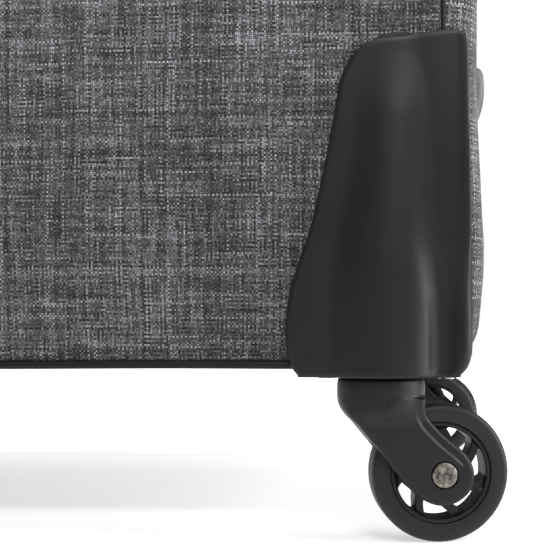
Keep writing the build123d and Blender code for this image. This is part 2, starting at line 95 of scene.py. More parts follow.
def poly_sdf(P):
    P = np.asarray(P, float)
    Q = np.roll(P, -1, axis=0)

    def f(x, y):
        shape = np.broadcast(x, y).shape
        x = np.broadcast_to(x, shape).ravel()
        y = np.broadcast_to(y, shape).ravel()
        best = np.full(x.shape, 1e12)
        inside = np.zeros(x.shape, bool)
        for (ax, ay), (bx, by) in zip(P, Q):
            ex, ey = bx - ax, by - ay
            wx, wy = x - ax, y - ay
            t = np.clip((wx * ex + wy * ey) / (ex * ex + ey * ey + 1e-12), 0, 1)
            best = np.minimum(best, (wx - ex * t) ** 2 + (wy - ey * t) ** 2)
            cond = ((ay > y) != (by > y))
            with np.errstate(divide="ignore", invalid="ignore"):
                xi = (bx - ax) * (y - ay) / (by - ay + (1e-12 if by == ay else 0)) + ax
            inside ^= cond & (x < xi)
        d = np.sqrt(best)
        return np.where(inside, -d, d).reshape(shape)
    return f


def spline_loop(pts, per=6):
    """Closed Catmull-Rom through the points."""
    P = np.asarray(pts, float)
    n = len(P)
    out = []
    for i in range(n):
        p0, p1, p2, p3 = P[(i - 1) % n], P[i], P[(i + 1) % n], P[(i + 2) % n]
        for k in range(per):
            t = k / per
            out.append(0.5 * ((2 * p1) + (-p0 + p2) * t + (2 * p0 - 5 * p1 + 4 * p2 - p3) * t * t + (-p0 + 3 * p1 - 3 * p2 + p3) * t ** 3))
    return np.array(out)


def box_sdf(x, y, z, c, half, r):
    qx, qy, qz = (np.abs(x - c[0]) - half[0] + r, np.abs(y - c[1]) - half[1] + r, np.abs(z - c[2]) - half[2] + r)
    return np.sqrt(np.maximum(qx, 0) ** 2 + np.maximum(qy, 0) ** 2 + np.maximum(qz, 0) ** 2) + np.minimum(np.maximum(qx, np.maximum(qy, qz)), 0) - r


def net(f, lo, hi, h, fix=2):
    """Surface nets: the zero surface of f as quads. f is negative inside."""
    axes = [np.arange(a - h, b + 1.5 * h, h) for a, b in zip(lo, hi)]
    X, Y, Z = np.meshgrid(*axes, indexing="ij")
    V = f(X, Y, Z)
    s = V < 0
    n = [len(a) for a in axes]
    cnt = sum(s[i:n[0] - 1 + i, j:n[1] - 1 + j, k:n[2] - 1 + k].astype(np.int8) for i in (0, 1) for j in (0, 1) for k in (0, 1))
    mask = (cnt > 0) & (cnt < 8)
    idx = -np.ones(mask.shape, np.int64)
    cell = np.argwhere(mask)
    idx[mask] = np.arange(len(cell))
    corner = [(i, j, k) for i in (0, 1) for j in (0, 1) for k in (0, 1)]
    val = [V[cell[:, 0] + c[0], cell[:, 1] + c[1], cell[:, 2] + c[2]] for c in corner]
    acc = np.zeros((len(cell), 3))
    num = np.zeros(len(cell))
    for a in range(8):
        for b in range(a + 1, 8):
            if sum(abs(p - q) for p, q in zip(corner[a], corner[b])) != 1:
                continue
            hit = (val[a] < 0) != (val[b] < 0)
            t = np.where(hit, val[a] / np.where(hit, val[a] - val[b], 1), 0)
            p = np.array(corner[a])[None, :] + t[:, None] * (np.array(corner[b]) - np.array(corner[a]))[None, :]
            acc += np.where(hit[:, None], p, 0)
            num += hit
    base = np.array([a[0] for a in axes])
    v = base + (cell + acc / num[:, None]) * h
    quads = []
    for ax in range(3):
        o1, o2 = (ax + 1) % 3, (ax + 2) % 3
        sl0 = [slice(None)] * 3
        sl1 = [slice(None)] * 3
        sl0[ax] = slice(0, n[ax] - 1)
        sl1[ax] = slice(1, n[ax])
        change = s[tuple(sl0)] != s[tuple(sl1)]
        e = np.argwhere(change)
        ok = (e[:, o1] > 0) & (e[:, o2] > 0) & (e[:, o1] < n[o1] - 1) & (e[:, o2] < n[o2] - 1)
        e = e[ok]
        first = s[tuple(e.T)]
        q = []
        for d1, d2 in ((1, 1), (0, 1), (0, 0), (1, 0)):
            c = e.copy()
            c[:, o1] -= d1
            c[:, o2] -= d2
            q.append(idx[c[:, 0], c[:, 1], c[:, 2]])
        q = np.stack(q, 1)
        q = np.where(first[:, None], q, q[:, ::-1])
        quads.append(q)
    quads = np.concatenate(quads)
    quads = quads[(quads >= 0).all(1)]
    eps = 0.04
    for _ in range(fix):
        g = np.stack([(f(v[:, 0] + (eps if a == 0 else 0), v[:, 1] + (eps if a == 1 else 0), v[:, 2] + (eps if a == 2 else 0))
                       - f(v[:, 0] - (eps if a == 0 else 0), v[:, 1] - (eps if a == 1 else 0), v[:, 2] - (eps if a == 2 else 0))) / (2 * eps) for a in range(3)], 1)
        step = f(v[:, 0], v[:, 1], v[:, 2])[:, None] * g / np.maximum((g ** 2).sum(1), 0.25)[:, None]
        v = v - np.clip(step, -0.6 * h, 0.6 * h)
    return v, quads


# ------------------------------------------------------------------ mesh helpers
def new_object(name, v_mm, faces, mat, weave=None, smooth_shade=True, matrix=None):
    faces = faces if isinstance(faces, list) else [faces]
    faces = [np.asarray(a, np.int32) for a in faces if len(a)]
    me = bpy.data.meshes.new(name)
    v = np.asarray(v_mm, float) * MM
    loops = np.concatenate([a.ravel() for a in faces])
    tot = np.concatenate([np.full(len(a), a.shape[1], np.int32) for a in faces])
    start = np.concatenate([[0], np.cumsum(tot)[:-1]]).astype(np.int32)
    me.vertices.add(len(v))
    me.vertices.foreach_set("co", v.ravel())
    me.loops.add(len(loops))
    me.loops.foreach_set("vertex_index", loops)
    me.polygons.add(len(tot))
    me.polygons.foreach_set("loop_start", start)
    me.update(calc_edges=True)
    if weave is not None:
        at = me.attributes.new("weave", "FLOAT_VECTOR", "POINT")
        w = np.zeros((len(v), 3), np.float32)
        w[:, :2] = weave
        at.data.foreach_set("vector", w.ravel())
    me.validate()
    me.polygons.foreach_set("use_smooth", [bool(smooth_shade)] * len(me.polygons))
    ob = bpy.data.objects.new(name, me)
    bpy.context.collection.objects.link(ob)
    if mat is not None:
        me.materials.append(mat)
    if matrix is not None:
        ob.matrix_world = matrix
    return ob


def grid_faces(nu, nv, flip=False, close_u=False, close_v=False, base=0):
    iu = np.arange(nu if close_u else nu - 1)
    iv = np.arange(nv if close_v else nv - 1)
    I, J = np.meshgrid(iu, iv, indexing="ij")
    I2, J2 = (I + 1) % nu, (J + 1) % nv
    q = np.stack([I * nv + J, I2 * nv + J, I2 * nv + J2, I * nv + J2], -1).reshape(-1, 4) + base
    return q[:, ::-1] if flip else q


def patch(name, P, mat, weave=None, flip=False, close_u=False, close_v=False):
    nu, nv = P.shape[:2]
    w = None if weave is None else np.stack([np.broadcast_to(weave[0], (nu, nv)), np.broadcast_to(weave[1], (nu, nv))], -1).reshape(-1, 2)
    return new_object(name, P.reshape(-1, 3), grid_faces(nu, nv, flip, close_u, close_v), mat, w)


def tube(points, r, n=10, closed=False, squash_to=1.0):
    """A round tube along points; returns vertices and quads."""
    P = np.asarray(points, float)
    m = len(P)
    T = (np.roll(P, -1, 0) - np.roll(P, 1, 0)) if closed else np.gradient(P, axis=0)
    T /= np.linalg.norm(T, axis=1)[:, None] + 1e-12
    ref = np.array([0.0, 0.0, 1.0]) if abs(T[0][2]) < 0.9 else np.array([0.0, 1.0, 0.0])
    N = np.zeros_like(P)
    prev = np.cross(np.cross(T[0], ref), T[0])
    for i in range(m):
        prev = prev - T[i] * (prev @ T[i])
        prev /= np.linalg.norm(prev) + 1e-12
        N[i] = prev
    B = np.cross(T, N)
    a = np.linspace(0, 2 * math.pi, n, endpoint=False)
    rr = np.broadcast_to(np.asarray(r, float), (m,))
    V = P[:, None, :] + rr[:, None, None] * (np.cos(a)[None, :, None] * N[:, None, :] + squash_to * np.sin(a)[None, :, None] * B[:, None, :])
    F = grid_faces(m, n, False, closed, True)
    faces = [F]
    V = V.reshape(-1, 3)
    if not closed:
        c0, c1 = len(V), len(V) + 1
        V = np.concatenate([V, P[:1], P[-1:]])
        k = np.arange(n)
        faces.append(np.stack([np.full(n, c0), (k + 1) % n, k], 1))
        faces.append(np.stack([np.full(n, c1), (m - 1) * n + k, (m - 1) * n + (k + 1) % n], 1))
    return V, faces


def ribbon(points, widths_dir, w, t, round_edge=0.35):
    """A flat strap with a thin rounded section along points. widths_dir is the direction across it."""
    P = np.asarray(points, float)
    T = np.gradient(P, axis=0)
    T /= np.linalg.norm(T, axis=1)[:, None]
    W = np.broadcast_to(np.asarray(widths_dir, float), P.shape).copy()
    W -= T * (W * T).sum(1)[:, None]
    W /= np.linalg.norm(W, axis=1)[:, None]
    N = np.cross(W, T)
    e = min(round_edge, t * 0.45)
    hw, ht = w / 2, t / 2
    sec = [(-hw, -ht + e), (-hw + e, -ht), (-hw * 0.5, -ht), (0, -ht), (hw * 0.5, -ht), (hw - e, -ht), (hw, -ht + e),
           (hw, ht - e), (hw - e, ht), (hw * 0.5, ht), (0, ht), (-hw * 0.5, ht), (-hw + e, ht), (-hw, ht - e)]
    V = np.stack([P + a * W + b * N for a, b in sec], 1)
    m, n = V.shape[:2]
    s = np.concatenate([[0], np.cumsum(np.linalg.norm(np.diff(P, axis=0), axis=1))])
    wv = np.stack([np.broadcast_to(np.array([q[0] for q in sec])[None, :], (m, n)), np.broadcast_to(s[:, None], (m, n))], -1).reshape(-1, 2)
    faces = [grid_faces(m, n, False, False, True)]
    V = V.reshape(-1, 3)
    c0, c1 = len(V), len(V) + 1
    V = np.concatenate([V, P[:1], P[-1:]])
    wv = np.concatenate([wv, [[0, 0]], [[0, s[-1]]]])
    k = np.arange(n)
    faces.append(np.stack([np.full(n, c0), (k + 1) % n, k], 1))
    faces.append(np.stack([np.full(n, c1), (m - 1) * n + k, (m - 1) * n + (k + 1) % n], 1))
    return V, faces, wv


def merged(parts):
    """Joins (V, faces[, weave]) lists into one."""
    VV, FF, WW, base = [], [], [], 0
    for p in parts:
        V, F = p[0], p[1]
        F = F if isinstance(F, list) else [F]
        VV.append(V)
        FF += [a + base for a in F]
        if len(p) > 2:
            WW.append(p[2])
        base += len(V)
    q = [a for a in FF if a.shape[1] == 4]
    t = [a for a in FF if a.shape[1] == 3]
    out = ([np.concatenate(q)] if q else []) + ([np.concatenate(t)] if t else [])
    return np.concatenate(VV), out, (np.concatenate(WW) if WW else None)


# ------------------------------------------------------------------ materials
class Mat:
    def __init__(self, name):
        self.m = bpy.data.materials.new(name)
        self.m.use_nodes = True
        self.t = self.m.node_tree
        self.b = self.t.nodes["Principled BSDF"]

    def node(self, kind, **kw):
        n = self.t.nodes.new(kind)
        for k, v in kw.items():
            setattr(n, k, v)
        return n

    def put(self, sock, v):
        if isinstance(v, bpy.types.NodeSocket):
            self.t.links.new(v, sock)
        elif v is not None:
            sock.default_value = v

    def math(self, op, a, b=None, c=None, clamp=False):
        n = self.node("ShaderNodeMath", operation=op, use_clamp=clamp)
        for i, v in enumerate((a, b, c)):
            if v is not None:
                self.put(n.inputs[i], v)
        return n.outputs[0]

    def vec(self, x, y, z=0.0):
        n = self.node("ShaderNodeCombineXYZ")
        for i, v in enumerate((x, y, z)):
            self.put(n.inputs[i], v)
        return n.outputs[0]

    def sep(self, v):
        n = self.node("ShaderNodeSeparateXYZ")
        self.put(n.inputs[0], v)
        return n.outputs

    def noise(self, vector, scale=1.0, detail=2.0, rough=0.5):
        n = self.node("ShaderNodeTexNoise")
        self.put(n.inputs["Vector"], vector)
        n.inputs["Scale"].default_value = scale
        n.inputs["Detail"].default_value = detail
        n.inputs["Roughness"].default_value = rough
        return n.outputs[0]

    def white(self, vector):
        n = self.node("ShaderNodeTexWhiteNoise", noise_dimensions="3D")
        self.put(n.inputs["Vector"], vector)
        return n.outputs["Value"]

    def mix(self, f, a, b):
        """a + f * (b - a)"""
        n = self.node("ShaderNodeMapRange")
        n.clamp = False
        self.put(n.inputs["Value"], f)
        self.put(n.inputs["To Min"], a)
        self.put(n.inputs["To Max"], b)
        return n.outputs[0]

    def ramp(self, f, stops):
        n = self.node("ShaderNodeValToRGB")
        e = n.color_ramp.elements
        while len(e) < len(stops):
            e.new(0.5)
        for k, (p, c) in zip(e, stops):
            k.position = p
            k.color = (c[0], c[1], c[2], 1) if hasattr(c, "__len__") else (c, c, c, 1)
        self.put(n.inputs[0], f)
        return n.outputs[0]

    def bump(self, h, distance, strength=1.0):
        n = self.node("ShaderNodeBump")
        n.inputs["Strength"].default_value = strength
        n.inputs["Distance"].default_value = distance
        self.put(n.inputs["Height"], h)
        self.t.links.new(n.outputs[0], self.b.inputs["Normal"])

    def set(self, **kw):
        for k, v in kw.items():
            self.put(self.b.inputs[k.replace("_", " ")], v)
        return self.m


def object_mm(t):
    tc = t.node("ShaderNodeTexCoord")
    n = t.node("ShaderNodeVectorMath", operation="SCALE")
    t.t.links.new(tc.outputs["Object"], n.inputs[0])
    n.inputs["Scale"].default_value = 1000.0
    return n.outputs[0]


def plastic(name, base, rough=0.45, grain=0.5, vary=0.12, spec=0.5, distance=0.00002, scale=2.2, coat=0.0):
    """Moulded plastic: a fine spark-eroded grain, with slight large-scale tone changes."""
    t = Mat(name)
    p = object_mm(t)
    tone = t.noise(p, 0.035, 3.0, 0.55)
    k = t.mix(tone, 1 - vary, 1 + vary)
    col = t.node("ShaderNodeVectorMath", operation="SCALE")
    col.inputs[0].default_value = base
    t.put(col.inputs["Scale"], k)
    t.put(t.b.inputs["Base Color"], col.outputs[0])
    fine = t.noise(p, scale, 3.0, 0.6)
    t.put(t.b.inputs["Roughness"], t.mix(t.noise(p, 0.12, 2.0), rough - 0.05, rough + 0.06))
    t.b.inputs["Specular IOR Level"].default_value = spec
    if coat:
        t.b.inputs["Coat Weight"].default_value = coat
        t.b.inputs["Coat Roughness"].default_value = 0.3
    t.bump(fine, distance, grain)
    return t.m


def metal(name, base, rough=0.3, scratch=0.4, dirt=0.0, stretch=(1, 1, 1)):
    t = Mat(name)
    p = object_mm(t)
    mp = t.node("ShaderNodeMapping")
    mp.inputs["Scale"].default_value = stretch
    t.put(mp.inputs["Vector"], p)
    a = t.noise(mp.outputs[0], 1.6, 5.0, 0.65)
    spots = t.noise(p, 0.5, 3.0, 0.6)
    k = t.mix(spots, 1.0 - dirt, 1.0 + 0.25 * dirt) if dirt else t.mix(a, 0.9, 1.08)
    col = t.node("ShaderNodeVectorMath", operation="SCALE")
    col.inputs[0].default_value = base
    t.put(col.inputs["Scale"], k)
    t.put(t.b.inputs["Base Color"], col.outputs[0])
    t.b.inputs["Metallic"].default_value = 1.0
    t.put(t.b.inputs["Roughness"], t.mix(a, max(0.05, rough - 0.1), rough + 0.15))
    t.bump(a, 0.00002, scratch)
    return t.m


def weave_material(name, stops, pitch=0.88, bump=0.00016, slub=1.0, rough=0.92, sheen=0.15, tint=(1.0, 1.0, 1.0), contrast=1.0, bias=0.0):
    """Plain weave of heather yarns. The vertex attribute weave holds the cloth's own flat coordinates in mm."""
    t = Mat(name)
    at = t.node("ShaderNodeAttribute", attribute_name="weave")
    raw = at.outputs["Vector"]
    u, v, _ = t.sep(raw)
    wob1 = t.noise(t.vec(t.math("MULTIPLY", u, 0.06), t.math("MULTIPLY", v, 0.25), 1.7), 1.0, 2.0)
    wob2 = t.noise(t.vec(t.math("MULTIPLY", u, 0.25), t.math("MULTIPLY", v, 0.06), 6.2), 1.0, 2.0)
    U = t.math("DIVIDE", t.math("ADD", u, t.math("MULTIPLY", wob1, 0.9 * pitch)), pitch)
    V = t.math("DIVIDE", t.math("ADD", v, t.math("MULTIPLY", wob2, 0.9 * pitch)), pitch)
    iu, iv = t.math("FLOOR", U), t.math("FLOOR", V)
    fu, fv = t.math("SUBTRACT", U, iu), t.math("SUBTRACT", V, iv)
    par = t.math("FLOORED_MODULO", t.math("ADD", iu, iv), 2.0)

    def yarn(i, along, seed):
        own = t.white(t.vec(t.math("ADD", i, seed), 3.7, seed))
        long = t.noise(t.vec(t.math("MULTIPLY", i, 3.17), t.math("MULTIPLY", along, 0.030), seed), 1.0, 2.0, 0.6)
        fleck = t.noise(t.vec(t.math("MULTIPLY", i, 5.31), t.math("MULTIPLY", along, 0.42), seed + 11), 1.0, 3.0, 0.7)
        a = t.math("MULTIPLY", t.math("SUBTRACT", own, 0.5), 0.26)
        b = t.math("MULTIPLY", t.math("SUBTRACT", long, 0.5), 1.25 * slub)
        c = t.math("MULTIPLY", t.math("SUBTRACT", fleck, 0.5), 1.15)
        return t.math("ADD", t.math("ADD", a, b), c)

    warp = yarn(iu, V, 2.0)
    weft = yarn(iv, U, 40.0)
    tone = t.mix(par, warp, weft)

    def hump(f):
        d = t.math("SUBTRACT", t.math("MULTIPLY", f, 2.0), 1.0)
        return t.math("SUBTRACT", 1.0, t.math("MULTIPLY", d, d))

    hu, hv = hump(fu), hump(fv)
    h = t.math("MULTIPLY", t.math("SQRT", t.math("MAXIMUM", hu, 0.0)), t.math("SQRT", t.math("MAXIMUM", hv, 0.0)))
    cloud = t.noise(t.vec(t.math("MULTIPLY", u, 0.02), t.math("MULTIPLY", v, 0.02), 4.4), 1.0, 3.0, 0.6)
    val = t.math("ADD", t.math("ADD", t.math("MULTIPLY", tone, contrast), 0.5 + bias), t.math("MULTIPLY", t.math("SUBTRACT", cloud, 0.5), 0.18))
    col = t.ramp(val, stops)
    # the colour is painted darker in the gaps between yarns (down to 0.42) and lighter on the yarn crowns (up to 1.12):
    # painted shade and painted highlight of the weave
    shade = t.mix(h, 0.42, 1.12)
    out = t.node("ShaderNodeVectorMath", operation="SCALE")
    t.put(out.inputs[0], col)
    t.put(out.inputs["Scale"], shade)
    tn = t.node("ShaderNodeVectorMath", operation="MULTIPLY")
    t.put(tn.inputs[0], out.outputs[0])
    tn.inputs[1].default_value = tint
    t.put(t.b.inputs["Base Color"], tn.outputs[0])
    t.b.inputs["Roughness"].default_value = rough
    t.b.inputs["Specular IOR Level"].default_value = 0.25
    t.b.inputs["Sheen Weight"].default_value = sheen
    t.b.inputs["Sheen Roughness"].default_value = 0.5
    hh = t.math("ADD", h, t.math("MULTIPLY", tone, 0.5))
    t.bump(hh, bump, 1.0)
    return t.m


M = {}
M["cloth"] = weave_material("heather_cloth", [(0.0, 0.006), (0.22, 0.015), (0.42, 0.050), (0.60, 0.115), (0.8, 0.26), (1.0, 0.40)], pitch=0.74, contrast=1.22,
                            tint=(0.845, 0.862, 0.905))
M["lining"] = weave_material("lining_cloth", [(0.0, 0.09), (1.0, 0.15)], pitch=0.35, bump=0.00003, slub=0.2, rough=0.5, sheen=0.3, contrast=0.5)
M["webbing"] = weave_material("webbing", [(0.0, 0.012), (1.0, 0.045)], pitch=1.5, bump=0.0003, slub=0.2, rough=0.8, contrast=0.6)
M["tape"] = weave_material("zip_tape", [(0.0, 0.008), (1.0, 0.028)], pitch=0.6, bump=0.00008, slub=0.2, rough=0.85, contrast=0.6)
M["piping"] = plastic("piping_black", (0.008, 0.008, 0.009), 0.55, 0.4, scale=1.2, spec=0.2)
M["charcoal"] = plastic("charcoal_plastic", (0.0100, 0.0101, 0.0122), 0.44, 0.35, vary=0.10, spec=0.24)
M["fork"] = plastic("fork_plastic", (0.0100, 0.0101, 0.0120), 0.42, 0.35, vary=0.10, spec=0.24)
M["wheel"] = plastic("wheel_plastic", (0.0075, 0.0077, 0.0090), 0.4, 0.3, spec=0.27)
M["tread"] = plastic("tread_rubber", (0.0140, 0.0142, 0.0165), 0.5, 0.3, vary=0.08, spec=0.27)
M["foot"] = plastic("foot_plastic", (0.085, 0.0855, 0.082), 0.5, 0.4)
M["nickel"] = metal("worn_nickel", (0.42, 0.38, 0.34), 0.45, 0.8, dirt=1.5)
M["zinc"] = metal("dark_nickel", (0.20, 0.20, 0.21), 0.32, 0.3)
M["steel"] = metal("screw_steel", (0.45, 0.45, 0.46), 0.35, 0.3)
M["alu"] = metal("brushed_tube", (0.36, 0.36, 0.38), 0.34, 0.5, stretch=(3.0, 3.0, 0.05))
M["board"] = plastic("pressed_board", (0.07, 0.07, 0.07), 0.6, 0.6)
M["mesh"] = plastic("net_yarn", (0.014, 0.014, 0.015), 0.7, 0.6)
M["coil"] = plastic("zip_coil", (0.016, 0.016, 0.018), 0.35, 0.2)


def add(ob, body, *replaced, slot=None):
    if replaced:
        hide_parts(*replaced)
    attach(ob, body)
    return ob


# ------------------------------------------------------------------ wheel housing, one shape for all corners
H_OUT = [(24.0, 59.1), (28.9, 60.6), (32.3, 65.6), (33.0, 76.5), (32.5, 104.4), (31.9, 135.8), (31.4, 151.5), (31.15, 169.3), (30.6, 178.6),
         (28.4, 181.0), (23.4, 181.5), (18.8, 181.1), (10.0, 180.0), (1.9, 179.2), (-3.5, 177.9), (-7.0, 175.5), (-9.5, 173.2), (-11.6, 169.7),
         (-14.0, 164.0), (-15.9, 152.5), (-18.1, 141.1), (-21.2, 126.2), (-24.4, 112.6), (-28.6, 100.5), (-32.2, 88.0), (-33.2, 76.5),
         (-32.7, 69.5), (-31.2, 63.6), (-28.8, 60.4), (-25.6, 59.2)]
H_POLY = poly_sdf(spline_loop(H_OUT, 3))
RZ = np.array([55.0, 59.8, 86.8, 97.2, 112.6, 119.4, 134.3, 144.2, 165.0, 175.0, 185.0])
RL = np.array([-14.4, -14.4, -14.9, -14.4, -12.6, -11.3, -6.8, -5.0, -1.2, 0.8, 3.0])
RR = np.array([19.2, 19.2, 19.2, 18.4, 17.1, 16.4, 14.6, 13.5, 11.6, 9.5, 7.0])


def housing_f(a, y, z):
    d2 = H_POLY(a, z)
    left, right = np.interp(z, RZ, RL), np.interp(z, RZ, RR)
    c, hw = (left + right) / 2, np.maximum((right - left) / 2, 2.0)
    low = 1 - smooth(78, 118, z)
    # face of the wing: a valley left of the rib, a hollow right of it, and a rolled outer corner
    face = 138.6 - 0.02 * np.abs(a)
    face = face - 1.5 * low * gauss(a - (left - 2.2), 2.6)
    face = face - (2.9 * low + 0.4) * gauss(a - (right + 3.4 + 1.0 * low), 3.4) * smooth(52, 64, z)
    face = face + 0.5 * smooth(27, 31.5, a) * (1 - low)
    k = 2.0 + 3.6 * smooth(24, 32, a) * (1 - smooth(86, 112, z)) - 1.1 * smooth(24, 30, a) * smooth(100, 120, z)
    plate = smax(y - face, d2, k)
    H = np.interp(z, [55, 59.5, 100, 135, 152, 166, 185], [6.6, 6.6, 5.6, 3.0, 0.9, -1.4, -4.0])
    q = (a - c) / hw
    p = (y - 134.5) / np.maximum(4.0 + H, 0.5)
    rib = (np.sqrt(q * q + p * p + 1e-9) - 1) * np.minimum(hw, 9.0)
    rib = smax(rib, d2 + 0.2, 1.0)
    kk = 3.4 - 2.4 * low * smooth(-4, 6, a - c) + 4.6 * smooth(120, 160, z)
    body = smin(plate, rib, kk)
    body = smax(body, 133.6 - y, 0.4)
    foot = smax(box_sdf(a, y, z * 0, (1.0, 113.5, 0.0), (30.0, 18.5, 50.0), 10.0), np.abs(z - 61.6) - 2.1, 0.8)
    foot = smax(smax(foot, d2 + 0.1, 1.0), y - 131.0 - 8 * (1 - smooth(14, 20, a)), 1.0)
    tower = smax(np.hypot(a - 2.4, y - 125.0) - 17.0, np.abs(z - 78.5) - 19.0, 0.8)
    out = np.minimum(smin(body, foot, 0.6), tower)
    out = smax(out, 59.5 - z, 0.9)
    return np.maximum(out, 7.0 - np.hypot(a, y - 125.0) - 100 * (z > 96))


HV, HF = net(housing_f, (-35, 93, 58.5), (35, 146, 183.5), 0.9)
CORNERS = {"rear_left": (-1, 1), "rear_right": (1, 1), "front_left": (-1, -1), "front_right": (1, -1)}
for w, (sx, sy) in CORNERS.items():
    V = HV.copy()
    V[:, 0] = sx * (SWX + V[:, 0])
    V[:, 1] = sy * V[:, 1]
    add(new_object(w + "_housing_moulding", V, HF if sx * sy > 0 else HF[:, ::-1], M["charcoal"]), "case", w + "_housing", slot="charcoal_plastic")

# ------------------------------------------------------------------ caster fork, wheel and pins
F_OUT = [(16.0, 62.0), (-17.5, 62.0), (-17.5, 57.0), (-16.4, 53.2), (-14.8, 50.0), (-12.2, 46.2), (-9.0, 42.0), (-5.6, 37.8), (-1.4, 32.8), (3.3, 26.4), (8.0, 20.8),
         (13.0, 16.6), (17.5, 14.4), (22.5, 14.0), (27.3, 15.9), (30.9, 19.6), (32.1, 24.8), (31.0, 29.6), (28.0, 33.4), (23.0, 37.4),
         (18.6, 41.6), (15.4, 45.4), (14.2, 49.0), (14.8, 53.0), (16.0, 58.0)]
F_POLY = poly_sdf(spline_loop(F_OUT, 4))


def fork_f(t, y, z):
    d2 = F_POLY(t, z)
    ya = np.abs(y)
    # lower arm: flat rounded cheeks with a stepped rim along the upper edge
    rim = smooth(6, 14, t) * smooth(26, 31, z) * (1 - smooth(44, 50, z))
    upper = np.clip((t - 3.0) * 0.75 + (z - 25.0) * 0.66, -3, 9)
    step = 1.15 * smooth(4.6, 3.2, -d2) * smooth(2.0, 5.0, upper) * rim
    half = 12.3 - step
    arm = smax(d2, ya - half, 2.2)
    arm = smax(arm, z - 57.0, 3.0)
    neck = smax(np.hypot(t, y) - 16.0, 45.0 - z, 5.0)
    # its leading side follows the arm's edge
    neck = smax(neck, d2 - 2.5 * smooth(0.0, 8.0, t), 2.0)
    f = smin(arm, neck, 3.0)
    # round under the crown; only the trailing side may leave the round neck
    f = smax(f, np.hypot(t, y) - 16.0 - 60 * (1 - smooth(43.0, 53.0, z)) * smooth(-1.0, 9.0, t), 1.2)
    f = smax(f, z - 59.0, 0.8)
    ra = np.hypot(t - TRAIL, z - 25.0)
    f = smax(f, -np.maximum(ra - 26.8, ya - 7.9), 0.7)
    # crown recess over the wheel
    rec = np.maximum(np.hypot(t - 14.0, z - 47.0) - 4.6, ya - 8.6)
    f = smax(f, -rec, 0.6)
    # seat of the pin head, and the bores
    f = smax(f, -np.maximum(ra - 4.9, 11.1 - ya), 0.25)
    f = np.maximum(f, 3.0 - ra)
    f = np.maximum(f, 4.0 - np.hypot(t, y) - 40 * (z < 47))
    return f


FV, FF = net(fork_f, (-18, -17, 13), (34, 17, 60), 0.55)


def hub_f(x, y, z):
    dx, dz = x - TRAIL, z - 25.0
    r = np.hypot(dx, dz)
    th = np.arctan2(dz, dx)
    ring = smax(np.abs(r - 17.5) - 0.9, np.abs(y) - 6.2, 0.5)
    boss = smax(r - 11.3, np.abs(y) - (6.0 - 1.4 * smooth(7.4, 9.0, r)), 0.5)
    n = 7
    a0 = math.radians(-21.0)
    skew = (r - 14.0) * 0.055
    ph = (th - a0 - skew) * n / (2 * math.pi)
    ph = (ph - np.round(ph)) * (2 * math.pi / n) * r
    spoke = smax(np.abs(ph) - 1.9, np.abs(y) - 4.6, 0.4)
    spoke = np.maximum(spoke, np.maximum(r - 17.2, 9.5 - r))
    f = smin(smin(ring, boss, 0.6), spoke, 0.9)
    return np.maximum(f, 3.05 - r)


def tyre_f(x, y, z):
    r = np.hypot(x - TRAIL, z - 25.0)
    ya = np.abs(y)
    d = smax(r - 25.0, ya - 7.0, 2.6)
    d = smax(d, 18.3 - r, 0.6)
    # shallow step between the side wall and the tread band
    d = smax(d, ya - 6.75 + 0.4 * smooth(19.8, 19.2, r), 0.3)
    return d


WV, WF = net(hub_f, (0.5, -8, 4.5), (41.5, 8, 45.5), 0.5)


def lathe(profile, n=144):
    """Turns (radius, y) points about the wheel axle."""
    P = np.asarray(profile, float)
    a = np.linspace(0, 2 * math.pi, n, endpoint=False)
    V = np.stack([TRAIL + P[None, :, 0] * np.cos(a)[:, None], np.broadcast_to(P[None, :, 1], (n, len(P))), 25.0 + P[None, :, 0] * np.sin(a)[:, None]], -1)
    return V.reshape(-1, 3), grid_faces(n, len(P), False, True, True)


def arc(cx, cy, r, a0, a1, n):
    return [(cx + r * math.cos(math.radians(a0 + (a1 - a0) * i / n)), cy + r * math.sin(math.radians(a0 + (a1 - a0) * i / n))) for i in range(n + 1)]


half_tyre = [(18.3, 0.0), (18.3, 5.6)] + arc(18.9, 6.2, 0.6, 180, 90, 3) + [(19.6, 6.85), (20.2, 7.0), (21.4, 7.0)] + arc(22.5, 4.5, 2.5, 90, 12, 7) + [(25.0, 2.6), (25.0, 1.3)]
tyre_profile = half_tyre + [(25.0, 0.0)] + [(r, -y) for r, y in half_tyre[::-1][:-1]]
TV, TF = lathe(tyre_profile)


def pin_head(sign):
    prof = [(0.01, 12.75)] + [(1.5, 12.72), (3.0, 12.66)] + arc(4.05, 12.1, 0.5, 90, 0, 4) + [(4.55, 11.25), (0.01, 11.25)]
    a = np.linspace(0, 2 * math.pi, 48, endpoint=False)
    P = np.array(prof)
    V = np.stack([TRAIL + P[None, :, 0] * np.cos(a)[:, None], sign * np.broadcast_to(P[None, :, 1], (48, len(P))), 25.0 + P[None, :, 0] * np.sin(a)[:, None]], -1)
    return V.reshape(-1, 3), [grid_faces(48, len(P), sign < 0, True, False)]


def rod(axis, c, r, a, b, n=32):
    """A plain shaft with a small chamfer along axis 'y' or 'z'."""
    prof = [(0.01, a), (r - 0.3, a), (r, a + 0.3), (r, b - 0.3), (r - 0.3, b), (0.01, b)]
    ang = np.linspace(0, 2 * math.pi, n, endpoint=False)
    P = np.array(prof)
    if axis == "y":
        V = np.stack([c[0] + P[None, :, 0] * np.cos(ang)[:, None], np.broadcast_to(P[None, :, 1], (n, len(P))), c[1] + P[None, :, 0] * np.sin(ang)[:, None]], -1)
    else:
        V = np.stack([c[0] + P[None, :, 0] * np.cos(ang)[:, None], c[1] + P[None, :, 0] * np.sin(ang)[:, None], np.broadcast_to(P[None, :, 1], (n, len(P)))], -1)
    return V.reshape(-1, 3), [grid_faces(n, len(P), axis == "z", True, False)]


